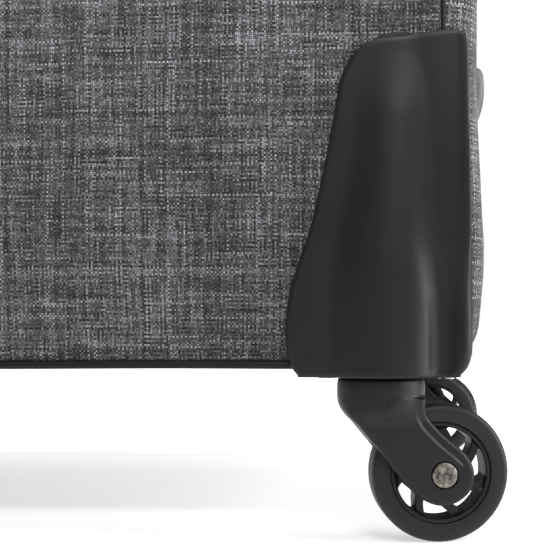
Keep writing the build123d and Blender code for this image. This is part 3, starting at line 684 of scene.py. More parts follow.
PV, PF, _ = merged([pin_head(1), pin_head(-1), rod("y", (TRAIL, 25.0), 3.0, -12.0, 12.0), rod("z", (0.0, 0.0), 4.0, 48.0, 89.0), rod("z", (0.0, 0.0), 6.2, 88.4, 90.0)])
REST = {"rear_left": 180 + TOE, "rear_right": -TOE, "front_left": 180 - TOE, "front_right": TOE}
for w, (sx, sy) in CORNERS.items():
    m = Matrix.Translation((sx * SWX * MM, sy * SWY * MM, 0)) @ Matrix.Rotation(math.radians(REST[w]), 4, "Z")
    add(new_object(w + "_fork_moulding", FV, FF, M["fork"], matrix=m), w + "_caster", w + "_fork", slot="fork_plastic")
    add(new_object(w + "_pins", PV, PF, M["nickel"], matrix=m), w + "_caster", w + "_caster_pins", slot="pin_metal")
    add(new_object(w + "_hub_moulding", WV, WF, M["wheel"], matrix=m), w + "_wheel", w + "_wheel_hub", slot="wheel_plastic")
    add(new_object(w + "_tread", TV, TF, M["tread"], matrix=m), w + "_wheel", w + "_tyre", slot="tread")

# ------------------------------------------------------------------ cloth body shell
W1, W2, W3, W4 = waves(11, 40, 170), waves(12, 14, 60), waves(13, 30, 140), waves(14, 60, 260)


def perimeter(w, z0, z1, rt, rb, closed, step):
    """Points, outward normals and running length round the case in the XZ plane."""
    pts = []

    def line(a, b):
        n = max(2, int(round(math.dist(a, b) / step)))
        for i in range(n):
            pts.append((a[0] + (b[0] - a[0]) * i / n, a[1] + (b[1] - a[1]) * i / n))

    def bend(cx, cz, r, a0, a1):
        n = max(8, int(round(abs(math.radians(a1 - a0)) * r / step)))
        for i in range(n):
            a = math.radians(a0 + (a1 - a0) * i / n)
            pts.append((cx + r * math.cos(a), cz + r * math.sin(a)))
    bend(-w + rb, z0 + rb, rb, 270, 180)
    line((-w, z0 + rb), (-w, z1 - rt))
    bend(-w + rt, z1 - rt, rt, 180, 90)
    line((-w + rt, z1), (w - rt, z1))
    bend(w - rt, z1 - rt, rt, 90, 0)
    line((w, z1 - rt), (w, z0 + rb))
    bend(w - rb, z0 + rb, rb, 0, -90)
    if closed:
        line((w - rb, z0), (-w + rb, z0))
    else:
        pts.append((w - rb, z0))
    P = np.array(pts)
    T = (np.roll(P, -1, 0) - np.roll(P, 1, 0)) if closed else np.gradient(P, axis=0)
    if not closed:
        T[0], T[-1] = (-1, 0), (-1, 0)
    T /= np.linalg.norm(T, axis=1)[:, None]
    N = np.stack([-T[:, 1], T[:, 0]], 1)
    s = np.concatenate([[0], np.cumsum(np.linalg.norm(np.diff(P, axis=0), axis=1))])
    return P, N, s


def section(y_back, y_front, roll, seam_in, step=5.0):
    """(outward offset, y, arc length) from the seam on the back face round the edge and forward."""
    out = []
    start = math.degrees(math.acos((roll - seam_in) / roll))
    for a in np.linspace(start, 0, 11):
        out.append((-roll + roll * math.cos(math.radians(a)), y_back - roll + roll * math.sin(math.radians(a))))
    n = max(2, int(round(abs((y_back - roll) - y_front) / step)))
    for i in range(1, n + 1):
        out.append((0.0, y_back - roll + (y_front - (y_back - roll)) * i / n))
    P = np.array(out)
    c = np.concatenate([[0], np.cumsum(np.linalg.norm(np.diff(P, axis=0), axis=1))])
    return P, c


FEET = [(75, 171.5), (-20, 171.5), (75, 590), (-20, 590)]


def bulge(x, y, z, nx, nz):
    """How far the side and top cloth stands off its board."""
    edge = smooth(SPLIT_Y, SPLIT_Y + 34, y) * (1 - smooth(104, 133, y) * 0.72)
    side = np.abs(nx)
    low = smooth(63, 84, z)
    up = 1 - smooth(575, 640, z)
    b = (0.3 + 2.5 * smooth(195, 300, z)) * edge * low * up * side
    b = b + 4.3 * side * gauss(z - 108, 25) * np.exp(-0.5 * ((y - 78) / 38) ** 2) * low
    b = b + 1.2 * (1 - side) * smooth(SPLIT_Y, SPLIT_Y + 25, y) * (1 - smooth(85, 120, y)) * smooth(0, 1, np.abs(nz)) * (z > 500)
    b = b + (0.55 * W1(y * 1.6, z) + 0.22 * W2(y, z)) * edge * side * low * (0.4 + 0.6 * smooth(185, 240, z))
    # pressed flat under the feet, the handle caps and the handle bezel
    near = np.zeros_like(b)
    for fy, fz in FEET:
        near = np.maximum(near, np.exp(-(np.maximum(np.abs(y - fy) - 17, 0) / 9) ** 2 - (np.maximum(np.abs(z - fz) - 8, 0) / 9) ** 2))
    b = b * (1 - near * (x < 0))
    for hz in (360, 500):
        near = np.exp(-(np.maximum(np.abs(y - 35) - 18, 0) / 9) ** 2 - (np.maximum(np.abs(z - hz) - 15, 0) / 9) ** 2)
        b = b * (1 - near * (x > 0))
    for hx in (-70, 70):
        near = np.exp(-(np.maximum(np.abs(y - 20) - 18, 0) / 9) ** 2 - (np.maximum(np.abs(x - hx) - 15, 0) / 9) ** 2)
        b = b * (1 - near * (z > 600))
    near = (1 - smooth(120, 140, np.abs(x))) * smooth(92, 100, y)
    b = b * (1 - near * (z > 640))
    return b


P2, N2, S2 = perimeter(HALF_W, LOW_Z, TOP_Z, R_TOP, R_LOW, False, 4.0)
C2, CL = section(BACK_Y, SPLIT_Y, ROLL, SEAM_IN)
X = P2[:, None, 0] + N2[:, None, 0] * C2[None, :, 0]
Z = P2[:, None, 1] + N2[:, None, 1] * C2[None, :, 0]
Y = np.broadcast_to(C2[None, :, 1], X.shape).copy()
B = bulge(X, Y, Z, np.broadcast_to(N2[:, None, 0], X.shape), np.broadcast_to(N2[:, None, 1], X.shape))
around = np.clip(C2[None, :, 0] + ROLL, 0, ROLL) / ROLL
B = B * smooth(0.25, 1.0, around)
seam_dip = 1.5 * np.exp(-(CL / 1.4) ** 2)[None, :] + 1.0 * np.exp(-((CL[-1] - CL) / 1.8) ** 2)[None, :]
# the roll swells between the seam and the side
roll_swell = 0.9 * np.sin(np.clip(CL / 20.0, 0, 1) * math.pi)[None, :] * (0.75 + 0.5 * W3(S2[:, None], CL[None, :] * 0.3))
roll_swell = roll_swell * smooth(183, 200, Z)
ca, sa = np.clip((C2[:, 0] + ROLL) / ROLL, 0, 1), np.clip((C2[:, 1] - (BACK_Y - ROLL)) / ROLL, 0, 1)
off = B + roll_swell - seam_dip
STRIP = np.stack([X + N2[:, None, 0] * off * ca[None, :], Y + off * sa[None, :], Z + N2[:, None, 1] * off * ca[None, :]], -1)
# foot plates and housings press the lower corners flat
shell_parts = [(STRIP.reshape(-1, 3), grid_faces(*STRIP.shape[:2]), np.stack([np.broadcast_to(CL[None, :] + 3.1, X.shape), np.broadcast_to(S2[:, None], X.shape)], -1).reshape(-1, 2))]


def back_face(y0, half, z0, z1, rt, sign, seed, wells, swell, ribs):
    zs = np.concatenate([np.linspace(z0, z0 + 8, 7)[:-1], np.arange(z0 + 8, z1 - rt - 2, 4.6), z1 - rt + rt * np.sin(np.linspace(0, math.pi / 2, 22))])
    us = np.concatenate([[-1, -0.9955, -0.990, -0.983], np.linspace(-0.972, 0.972, 90), [0.983, 0.990, 0.9955, 1]])
    w = np.where(zs > z1 - rt, half - rt + np.sqrt(np.maximum(rt ** 2 - (zs - (z1 - rt)) ** 2, 0)), half)
    Xb = us[:, None] * w[None, :]
    Zb = np.broadcast_to(zs[None, :], Xb.shape).copy()
    d = np.minimum(np.minimum(w[None, :] - np.abs(Xb), z1 - Zb), 1e3)
    dl = Zb - z0
    free = smooth(0, 60, d) * smooth(0, 50, dl)
    h = swell * free + (0.5 * W1(Xb, Zb + seed) + 0.16 * W2(Xb, Zb + seed)) * smooth(0, 26, d) * smooth(0, 20, dl)
    if ribs:
        h = h + 1.1 * np.exp(-((np.abs(Xb) - 80) / 9) ** 2) * smooth(70, 110, Zb)
    press = smooth(142, 158, np.abs(Xb)) * (1 - smooth(176, 204, Zb)) if wells else 0 * Xb
    h = h * (1 - press)
    h = h - 1.6 * np.exp(-(d / 1.3) ** 2)
    h = h - 2.4 * (1 - np.sqrt(np.clip(1 - (1 - np.clip(dl / 5.0, 0, 1)) ** 2, 0, 1)))
    return np.stack([Xb, sign * (y0 + h), Zb], -1), np.stack([Xb, Zb], -1)


BK, BKW = back_face(BACK_Y, HALF_W - SEAM_IN, LOW_Z + 0.6, TOP_Z - SEAM_IN, R_TOP - SEAM_IN, 1, 0, True, 2.2, True)
shell_parts.append((BK.reshape(-1, 3), grid_faces(*BK.shape[:2], True), BKW.reshape(-1, 2)))

# lower front: sides forward of the zip line, front roll and front face
for sx in (-1, 1):
    zs = np.concatenate([np.array([64.0] * 1), 78 - 14 * np.cos(np.linspace(0, math.pi / 2, 9))[1:], np.arange(81, 187, 4.0), [188.5, 190.5, 191.6, 192.0]])
    inx = np.where(zs < 78, 14 - np.sqrt(np.maximum(14 ** 2 - (78 - zs) ** 2, 0)), 0.0)
    C3, CL3 = section(-FRONT_Y, -SPLIT_Y, ROLL, SEAM_IN)
    off3 = 1.2 * smooth(0, 25, CL3)[None, :] * (1 - smooth(CL3[-1] - 16, CL3[-1], CL3))[None, :] * smooth(72, 100, zs)[:, None] * (1 - smooth(170, 190, zs))[:, None]
    off3 = off3 - 1.5 * np.exp(-(CL3 / 1.4) ** 2)[None, :] - 1.4 * np.exp(-((192 - zs) / 1.6) ** 2)[:, None]
    ca3, sa3 = np.clip((C3[:, 0] + ROLL) / ROLL, 0, 1), np.clip((C3[:, 1] - (-FRONT_Y - ROLL)) / ROLL, 0, 1)
    Xs = sx * (HALF_W - inx[:, None] + C3[None, :, 0] + off3 * ca3[None, :])
    Ys = -(C3[None, :, 1] + off3 * sa3[None, :]) + 0 * Xs
    Zs = np.broadcast_to(zs[:, None], Xs.shape)
    Q = np.stack([Xs, Ys, Zs], -1)
    shell_parts.append((Q.reshape(-1, 3), grid_faces(*Q.shape[:2], sx < 0), np.stack([np.broadcast_to(CL3[None, :], Xs.shape), Zs], -1).reshape(-1, 2)))
zs = np.concatenate([np.linspace(64.6, 72, 7)[:-1], np.arange(72, 187, 4.0), [188.5, 190.5, 191.6, 192.0]])
us = np.concatenate([[-208, -207.2, -206.2, -204.8], np.linspace(-202, 202, 88), [204.8, 206.2, 207.2, 208]])
Xf, Zf = us[:, None] + 0 * zs[None, :], zs[None, :] + 0 * us[:, None]
df, dl = 208 - np.abs(Xf), Zf - 64.6
hf = 2.4 * smooth(0, 60, df) * smooth(0, 40, dl) * smooth(0, 40, 192 - Zf) + (0.5 * W1(Xf, Zf * 1.2) + 0.15 * W2(Xf, Zf)) * smooth(0, 20, df) * smooth(0, 20, dl)
hf = hf * (1 - smooth(142, 158, np.abs(Xf)))
hf = hf - 1.6 * np.exp(-(df / 1.3) ** 2) - 1.4 * np.exp(-((192 - Zf) / 1.8) ** 2) - 2.4 * (1 - np.sqrt(np.clip(1 - (1 - np.clip(dl / 5.0, 0, 1)) ** 2, 0, 1)))
Q = np.stack([Xf, -(-FRONT_Y + hf), Zf], -1)
shell_parts.append((Q.reshape(-1, 3), grid_faces(*Q.shape[:2]), np.stack([Xf, Zf], -1).reshape(-1, 2)))
V, F, Wv = merged(shell_parts)
# opening in the top for the telescopic handle, its edge hidden under the bezel
centre = V[F[0]].mean(1)
F[0] = F[0][~((np.abs(centre[:, 0]) < 114.0) & (centre[:, 1] > 104.5) & (centre[:, 1] < 126.0) & (centre[:, 2] > 655))]
shell = new_object("body_cloth_shell", V, F, M["cloth"], Wv)
add(shell, "case", "back_panel", "left_side_panel", "right_side_panel", "top_panel", "front_lower_panel", slot="body_fabric")

# ledge cloth on top of the lower front, base cloth, edge binding
ledge = []
for (x0, x1, y0, y1) in ((-219, 219, -134, -117.8),):
    us, vs = np.linspace(x0, x1, 80), np.linspace(y0, y1, 7)
    A, Bq = us[:, None] + 0 * vs[None, :], vs[None, :] + 0 * us[:, None]
    hz = 191.2 - 1.6 * np.exp(-((Bq + 134) / 1.5) ** 2)
    ledge.append((np.stack([A, Bq, hz], -1).reshape(-1, 3), grid_faces(80, 7), np.stack([A, Bq], -1).reshape(-1, 2)))
us, vs = np.linspace(-1, 1, 90), np.linspace(-1, 1, 56)
A, Bq = us[:, None] * 208 + 0 * vs[None, :], vs[None, :] * 133.3 + 0 * us[:, None]
hz = 64.3 + 0.25 * W1(A, Bq) * smooth(0, 30, 208 - np.abs(A)) * smooth(0, 30, 133.3 - np.abs(Bq)) + 0.25
base_cloth = new_object("base_cloth", np.stack([A, Bq, np.maximum(hz, 63.9)], -1).reshape(-1, 3), grid_faces(90, 56, True), M["lining"], np.stack([A, Bq], -1).reshape(-1, 2))
add(base_cloth, "case", "base_panel", slot="lining")
V, F, Wv = merged(ledge)
add(new_object("ledge_cloth", V, F, M["cloth"], Wv), "case", slot="body_fabric")

piping = []
for sy in (1, -1):
    xs = np.linspace(-160, 160, 81)
    zz = 64.0 - 0.3 * np.sin((xs + 160) / 320 * math.pi) + 0.12 * np.sin(xs / 23.0)
    piping.append(tube(np.stack([xs, sy * (133.9 + 0 * xs), zz], 1), 1.45, 10))
for sx in (-1, 1):
    ys = np.linspace(-106, 106, 60)
    piping.append(tube(np.stack([sx * (206.5 + 0 * ys), ys, 63.8 + 0 * ys], 1), 1.15, 8))
V, F, _ = merged(piping)
add(new_object("base_piping", V, F, M["piping"]), "case", slot="zip_tape")

# black tubes laid in the seam grooves at the sides of the back and lower front faces and round the top of the back
# face: painted shade in the seams
seam_shade_tubes = []
for sx in (-1, 1):
    zz = np.concatenate([np.linspace(66, 619, 150)])
    seam_shade_tubes.append(tube(np.stack([sx * (208.0 + 0 * zz), 133.75 + 0.25 * np.sin(zz / 7.0), zz], 1), 0.95, 6))
    zz = np.linspace(66, 190, 40)
    seam_shade_tubes.append(tube(np.stack([sx * (208.0 + 0 * zz), -133.75 - 0.25 * np.sin(zz / 7.0), zz], 1), 0.95, 6))
top_seam = [(208 * 0 + (-175.0 - 33 * math.cos(a)), 133.75, 619 + 33 * math.sin(a)) for a in np.linspace(0, math.pi / 2, 12)]
top_seam = top_seam + [(x, 133.75, 652.0) for x in np.linspace(-170, 170, 60)] + [(-p[0], p[1], p[2]) for p in top_seam[::-1]]
seam_shade_tubes.append(tube(top_seam, 0.95, 6))
V, F, _ = merged(seam_shade_tubes)
add(new_object("face_seam_shade", V, F, M["piping"]), "case", slot="zip_tape")

# piped edge of the main opening on the body side
edge = [(x + nx * -0.2, SPLIT_Y + 0.2, z + nz * -0.2) for (x, z), (nx, nz) in zip(P2, N2) if z > 193]
V, F = tube(edge, 1.25, 8)
pipe_body = [(V, F)]
lowe = [(-219.6, y, 192.4) for y in np.linspace(-60, -118, 22)] + [(-219.6 + 14 * (1 - math.cos(a)), -120 - 14 * math.sin(a), 192.3) for a in np.linspace(0.1, math.pi / 2, 9)]
lowe = lowe + [(x, -134.2, 192.2) for x in np.linspace(-200, 200, 80)] + [(-p[0], p[1], p[2]) for p in lowe[::-1]]
pipe_body.append(tube(lowe, 1.25, 8))
V, F, _ = merged(pipe_body)
add(new_object("body_opening_piping", V, F, M["piping"]), "case", slot="zip_tape")

# ------------------------------------------------------------------ side feet
def foot_f(u, h, v):
    """u along y, v along z, h outwards. Steeper at the top, as moulded."""
    r = smax(np.abs(u) - 18.6, np.abs(v) - 9.2, 6.0)
    dome = h - (4.95 - 0.0115 * (u * 0.42) ** 2 - 0.030 * np.where(v < 0, v * v, 0.35 * v * v))
    return smax(smax(dome, r, 3.0), -h - 1.2, 0.3)


FT = []
fv, ff = net(foot_f, (-20, -1.6, -10.5), (20, 5.6, 10.5), 0.7)
for fy, fz in FEET:
    V = np.stack([-(HALF_W + fv[:, 1]), fy + fv[:, 0], fz + fv[:, 2]], 1)
    FT.append((V, ff))
V, F, _ = merged(FT)
add(new_object("side_feet_moulding", V, F, M["foot"]), "case", "side_feet", slot="foot_plastic")
# ------------------------------------------------------------------ lining of the main compartment
def rounded_face(half, z0, z1, rt, rb, y, nx=90, nz=110):
    """Grid over a rounded rectangle in the XZ plane."""
    zt = z1 - rt + rt * np.sin(np.linspace(0, math.pi / 2, 16))
    zb = z0 + rb - rb * np.sin(np.linspace(math.pi / 2, 0, 8))
    zs = np.concatenate([zb[:-1], np.linspace(z0 + rb, z1 - rt, nz)[:-1], zt])
    w = np.where(zs > z1 - rt, half - rt + np.sqrt(np.maximum(rt ** 2 - (zs - z1 + rt) ** 2, 0)),
                 np.where(zs < z0 + rb, half - rb + np.sqrt(np.maximum(rb ** 2 - (z0 + rb - zs) ** 2, 0)), half))
    us = np.linspace(-1, 1, nx)
    Xr = us[:, None] * w[None, :]
    Zr = np.broadcast_to(zs[None, :], Xr.shape).copy()
    d = np.minimum(w[None, :] - np.abs(Xr), np.minimum(z1 - Zr, Zr - z0))
    return Xr, Zr, d


LP, LN, LS = perimeter(213.2, 70.8, 657.4, 39.0, 8.0, True, 6.0)
ly = np.concatenate([np.linspace(-60.5, 88, 26), [92, 95, 97, 97.6]])
A, Bq = LS[:, None] + 0 * ly[None, :], ly[None, :] + 0 * LS[:, None]
inn = (1.1 + 0.9 * waves(21, 25, 120)(A, Bq)) * smooth(-60.5, -48, Bq)
inn = np.maximum(inn, 0.0) + 3.0 * (1 - np.sqrt(np.clip(1 - np.clip((Bq - 92.6) / 5.0, 0, 1) ** 2, 0, 1)))
Q = np.stack([LP[:, None, 0] - LN[:, None, 0] * inn, Bq, LP[:, None, 1] - LN[:, None, 1] * inn], -1)
lin = [(Q.reshape(-1, 3), grid_faces(*Q.shape[:2], True, True), np.stack([Bq, A], -1).reshape(-1, 2))]
Xr, Zr, d = rounded_face(211.5, 72.5, 655.7, 37.5, 7.0, 97.6)
yy = 97.7 - (0.4 + 0.6 * waves(22, 40, 160)(Xr, Zr)) * smooth(0, 25, d)
yy = np.minimum(yy, 97.9)
lin.append((np.stack([Xr, yy, Zr], -1).reshape(-1, 3), grid_faces(*Xr.shape), np.stack([Xr, Zr], -1).reshape(-1, 2)))
us, vs = np.linspace(-213, 213, 70), np.linspace(-60.5, -128.4, 18)
A, Bq = us[:, None] + 0 * vs[None, :], vs[None, :] + 0 * us[:, None]
lin.append((np.stack([A, Bq, 71.0 + 0.4 * W1(A, Bq)], -1).reshape(-1, 3), grid_faces(70, 18, True), np.stack([A, Bq], -1).reshape(-1, 2)))
zz = np.linspace(70.8, 188, 24)
A, Bq = us[:, None] + 0 * zz[None, :], zz[None, :] + 0 * us[:, None]
lin.append((np.stack([A, -128.4 + 0.5 + 0.4 * W1(A, Bq), Bq], -1).reshape(-1, 3), grid_faces(70, 24, True), np.stack([A, Bq], -1).reshape(-1, 2)))
for sx in (-1, 1):
    A, Bq = vs[:, None] + 0 * zz[None, :], zz[None, :] + 0 * vs[:, None]
    lin.append((np.stack([sx * (212.9 - 0.3 * W1(A, Bq)), A, Bq], -1).reshape(-1, 3), grid_faces(18, 24, sx > 0), np.stack([A, Bq], -1).reshape(-1, 2)))
us2, vs2 = np.linspace(-218.5, 218.5, 40), np.linspace(-117.6, -129.5, 4)
A, Bq = us2[:, None] + 0 * vs2[None, :], vs2[None, :] + 0 * us2[:, None]
lin.append((np.stack([A, Bq, 186.5 + 0 * A], -1).reshape(-1, 3), grid_faces(40, 4), np.stack([A, Bq], -1).reshape(-1, 2)))
V, F, Wv = merged(lin)
lining = add(new_object("lining_cloth", V, F, M["lining"], Wv), "case", "main_lining", slot="lining")

# ------------------------------------------------------------------ zips
TOOTH = np.array([(x, y, z) for x in (-1, 1) for y in (-1, 1) for z in (-1, 1)], float)
TOOTH_F = np.array([(0, 1, 3, 2), (4, 6, 7, 5), (0, 4, 5, 1), (2, 3, 7, 6), (0, 2, 6, 4), (1, 5, 7, 3)])


def resample(P, step, start=0.0):
    P = np.asarray(P, float)
    s = np.concatenate([[0], np.cumsum(np.linalg.norm(np.diff(P, axis=0), axis=1))])
    t = np.arange(start, s[-1], step)
    return np.stack([np.interp(t, s, P[:, i]) for i in range(3)], 1), t


def teeth(P, across, step=2.1, start=0.0, size=(0.62, 1.15, 0.75)):
    """Small moulded teeth along a path: size is along, across and through the tape."""
    Q, _ = resample(P, step, start)
    T = np.gradient(Q, axis=0)
    T /= np.linalg.norm(T, axis=1)[:, None]
    A = np.broadcast_to(np.asarray(across, float), Q.shape).copy()
    A -= T * (A * T).sum(1)[:, None]
    A /= np.linalg.norm(A, axis=1)[:, None]
    Nn = np.cross(A, T)
    taper = np.where(TOOTH[:, 2] > 0, 0.62, 1.0)
    V = (Q[:, None, :] + (TOOTH[:, 0] * taper * size[0])[None, :, None] * T[:, None, :] + (TOOTH[:, 1] * taper * size[1])[None, :, None] * A[:, None, :]
         + (TOOTH[:, 2] * size[2])[None, :, None] * Nn[:, None, :])
    F = (TOOTH_F[None] + 8 * np.arange(len(Q))[:, None, None]).reshape(-1, 4)
    return V.reshape(-1, 3), F


sel = P2[:, 1] > 200
Pm, Nm = P2[sel], N2[sel]


def main_path(y, depth):
    return np.stack([Pm[:, 0] - Nm[:, 0] * depth, np.full(len(Pm), y), Pm[:, 1] - Nm[:, 1] * depth], 1)


def u_path(z, inset=1.6):
    w = 218.4
    left = [(-w, y, z) for y in np.linspace(-67, -106, 14)] + [(-w + 14 * (1 - math.cos(a)), -106 - 14 * math.sin(a), z) for a in np.linspace(0.15, math.pi / 2, 9)]
    return np.array(left + [(x, -120.0, z) for x in np.linspace(-200, 200, 60)] + [(-p[0], p[1], p[2]) for p in left[::-1]])


for who, y_t, y_c, z_u, body, st in (("body", -62.4, -65.55, 193.5, "case", 0.0), ("lid", -69.6, -66.45, 194.6, "lid", 1.05)):
    V, F, Wv = ribbon(main_path(y_t, 2.4), (0, 1, 0), 5.6, 0.8)
    tape = [(V, F, Wv)]
    # along the lid's lower edge the tape is sewn into the cloth
    V, F, Wv = ribbon(u_path(z_u + (-0.75 if who == "body" else 1.05)), (0, 0, 1), 1.6 if who == "body" else 2.3, 0.8)
    tape.append((V, F, Wv))
    V, F, Wv = merged(tape)
    add(new_object(who + "_zip_tape", V, F, M["tape"], Wv), body, who + "_zip_half", slot="zip_tape")
    a = teeth(main_path(y_c, 2.0), (0, 1, 0), 2.1, st)
    b = teeth(u_path(z_u + (0.1 if who == "body" else -0.1)), (0, 0, 1), 2.1, st, size=(0.62, 0.55, 0.75))
    V, F, _ = merged([a, b])
    add(new_object(who + "_zip_teeth", V, F, M["coil"], smooth_shade=False), body, slot="zip_tape")

# ------------------------------------------------------------------ lid
GP, GN, GS = perimeter(HALF_W, LID_LOW, TOP_Z, R_TOP, R_LOW, True, 5.0)
GC, GCL = section(-LID_FRONT, -LID_BACK, 12.0, 10.0, 4.0)
X = GP[:, None, 0] + GN[:, None, 0] * GC[None, :, 0]
Z = GP[:, None, 1] + GN[:, None, 1] * GC[None, :, 0]
Y = np.broadcast_to(GC[None, :, 1], X.shape).copy()
sideness = np.abs(GN[:, None, 0])
goff = 1.5 * np.sin(np.clip(GCL / GCL[-1], 0, 1) * math.pi)[None, :] * (0.8 + 0.3 * W3(GS[:, None], GCL[None, :])) * np.clip(sideness + 0.3, 0, 1)
goff = goff - 1.4 * np.exp(-(GCL / 1.4) ** 2)[None, :] - 1.0 * np.exp(-((GCL[-1] - GCL) / 1.8) ** 2)[None, :]
goff = np.where((GN[:, None, 1] < -0.5), np.minimum(goff, 0.2), goff)
ca, sa = np.clip((GC[:, 0] + 12) / 12, 0, 1), np.clip((GC[:, 1] - (-LID_FRONT - 12)) / 12, 0, 1)
G = np.stack([X + GN[:, None, 0] * goff * ca[None, :], -(Y + goff * sa[None, :]), Z + GN[:, None, 1] * goff * ca[None, :]], -1)
lid_parts = [(G.reshape(-1, 3), grid_faces(*G.shape[:2], True, True), np.stack([np.broadcast_to(GCL[None, :], X.shape), np.broadcast_to(GS[:, None], X.shape)], -1).reshape(-1, 2))]
Xr, Zr, d = rounded_face(210.0, LID_LOW + 10, TOP_Z - 10, R_TOP - 10, 6.0, LID_FRONT, 110, 120)
h = 1.8 * smooth(0, 50, d) + (0.45 * W1(Xr, Zr) + 0.14 * W2(Xr, Zr)) * smooth(0, 22, d) - 1.5 * np.exp(-(d / 1.3) ** 2)
# it lies flat under the two pockets and their zips
under = smooth(212, 202, np.abs(Xr)) * np.maximum(smooth(196, 204, Zr) * smooth(474, 466, Zr), smooth(468, 474, Zr) * smooth(628, 620, Zr))
h = h * (1 - under) + np.minimum(h, 0.0) * under
lid_parts.append((np.stack([Xr, LID_FRONT - h, Zr], -1).reshape(-1, 3), grid_faces(*Xr.shape), np.stack([Xr, Zr], -1).reshape(-1, 2)))
V, F, Wv = merged(lid_parts)
add(new_object("lid_cloth_shell", V, F, M["cloth"], Wv), "lid", "lid_front_panel", slot="body_fabric")


def ring(half, z0, z1, rt, rb, y, n=None):
    P, _, _ = perimeter(half, z0, z1, rt, rb, True, 4.0)
    return np.stack([P[:, 0], np.full(len(P), float(y)), P[:, 1]], 1)


pp = [tube(ring(210.2, LID_LOW + 9.8, TOP_Z - 9.8, R_TOP - 10, 5.0, LID_FRONT - 0.6), 1.5, 8, True),
      tube(ring(219.6, LID_LOW + 0.5, TOP_Z - 0.5, R_TOP, R_LOW, LID_BACK - 0.3), 1.25, 8, True)]
V, F, _ = merged(pp)
add(new_object("lid_piping", V, F, M["piping"]), "lid", slot="zip_tape")
# inside of the lid
IP, IN_, IS = perimeter(215.8, LID_LOW + 4.2, TOP_Z - 4.2, R_TOP - 4, R_LOW - 4, True, 6.0)
iy = np.linspace(-72.2, -117.4, 10)
A, Bq = IS[:, None] + 0 * iy[None, :], iy[None, :] + 0 * IS[:, None]
inn = 0.3 + 0.25 * W1(A, Bq)
Q = np.stack([IP[:, None, 0] - IN_[:, None, 0] * inn, Bq, IP[:, None, 1] - IN_[:, None, 1] * inn], -1)
li = [(Q.reshape(-1, 3), grid_faces(*Q.shape[:2], False, True), np.stack([Bq, A], -1).reshape(-1, 2))]
Xr, Zr, d = rounded_face(215.4, LID_LOW + 4.6, TOP_Z - 4.6, R_TOP - 4, R_LOW - 4, -117.6, 80, 90)
li.append((np.stack([Xr, -117.7 + (0.25 + 0.25 * W1(Xr, Zr)) * smooth(0, 20, d), Zr], -1).reshape(-1, 3), grid_faces(*Xr.shape, True), np.stack([Xr, Zr], -1).reshape(-1, 2)))
# flange between the outside cloth and the lining
o_ = np.stack([GP[:, 0] - GN[:, 0] * 0.7, np.full(len(GP), LID_BACK - 0.2), GP[:, 1] - GN[:, 1] * 0.7], 1)
i_ = np.stack([GP[:, 0] - GN[:, 0] * 4.4, np.full(len(GP), LID_BACK - 0.4), GP[:, 1] - GN[:, 1] * 4.4], 1)
li.append((np.stack([o_, i_], 1).reshape(-1, 3), grid_faces(len(o_), 2, True, True), np.stack([o_[:, [0, 2]], i_[:, [0, 2]]], 1).reshape(-1, 2)))
V, F, Wv = merged(li)
add(new_object("lid_lining", V, F, M["lining"], Wv), "lid", "lid_gusset", slot="lining")
# flange on the body side
bo = np.array([(x - nx * 0.6, SPLIT_Y + 0.1, z - nz * 0.6) for (x, z), (nx, nz) in zip(P2, N2) if z > 190])
bi = np.array([(x - nx * 6.9, SPLIT_Y - 0.3, z - nz * 6.9) for (x, z), (nx, nz) in zip(P2, N2) if z > 190])
fl = [(np.stack([bo, bi], 1).reshape(-1, 3), grid_faces(len(bo), 2, False), np.stack([bo[:, [0, 2]], bi[:, [0, 2]]], 1).reshape(-1, 2))]
for sx in (-1, 1):
    ys = np.linspace(-60, -128, 18)
    a_ = np.stack([np.full(18, sx * 219.2), ys, np.full(18, 191.8)], 1)
    b_ = np.stack([np.full(18, sx * 212.8), ys, np.full(18, 188.0)], 1)
    fl.append((np.stack([a_, b_], 1).reshape(-1, 3), grid_faces(18, 2, sx > 0), np.stack([a_[:, :2], b_[:, :2]], 1).reshape(-1, 2)))
V, F, Wv = merged(fl)
add(new_object("body_flange", V, F, M["tape"], Wv), "case", slot="zip_tape")

# mesh pocket inside the lid: a diagonal net with bound edges
net_parts = []
hw, zb, zt, yn = 189.0, 236.0, 555.0, -115.9
step = 6.0


def sag(x, z):
    return yn + 1.0 * np.sin(np.clip((x + hw) / (2 * hw), 0, 1) * math.pi) * smooth(zb, zt, z)


for slope in (1, -1):
    for c in np.arange(-hw - (zt - zb), hw + (zt - zb), step):
        x0, x1 = (c, c + (zt - zb)) if slope > 0 else (c, c - (zt - zb))
        t = np.linspace(0, 1, 14)
        xs, zs_ = x0 + (x1 - x0) * t, zb + (zt - zb) * t
        ok = np.abs(xs) <= hw
        if ok.sum() < 2:
            continue
        lo_t = (np.clip(x0, -hw, hw) - x0) / (x1 - x0)
        hi_t = (np.clip(x1, -hw, hw) - x0) / (x1 - x0)
        t = np.linspace(min(lo_t, hi_t), max(lo_t, hi_t), 10)
        xs, zs_ = x0 + (x1 - x0) * t, zb + (zt - zb) * t
        if abs(t[-1] - t[0]) * (zt - zb) < 4:
            continue
        net_parts.append(tube(np.stack([xs, sag(xs, zs_) + 0.2 * slope, zs_], 1), 0.42, 4))
V, F, _ = merged(net_parts)
netting = new_object("lid_net", V, F, M["mesh"])
add(netting, "lid", "lid_mesh_pocket", slot="mesh")
bind = []
loop = [(-hw, zt)] + [(-hw, z) for z in np.linspace(zt - 6, zb + 10, 30)] + [(-hw + 10 * (1 - math.cos(a)), zb + 10 - 10 * math.sin(a)) for a in np.linspace(0.2, math.pi / 2, 5)]
loop = loop + [(x, zb) for x in np.linspace(-hw + 14, hw - 14, 40)] + [(-p[0], p[1]) for p in loop[::-1]]
bind.append(ribbon([(x, -116.3, z) for x, z in loop], (0, 1, 0), 1.6, 9.0, 0.5))
xs = np.linspace(-hw, hw, 60)
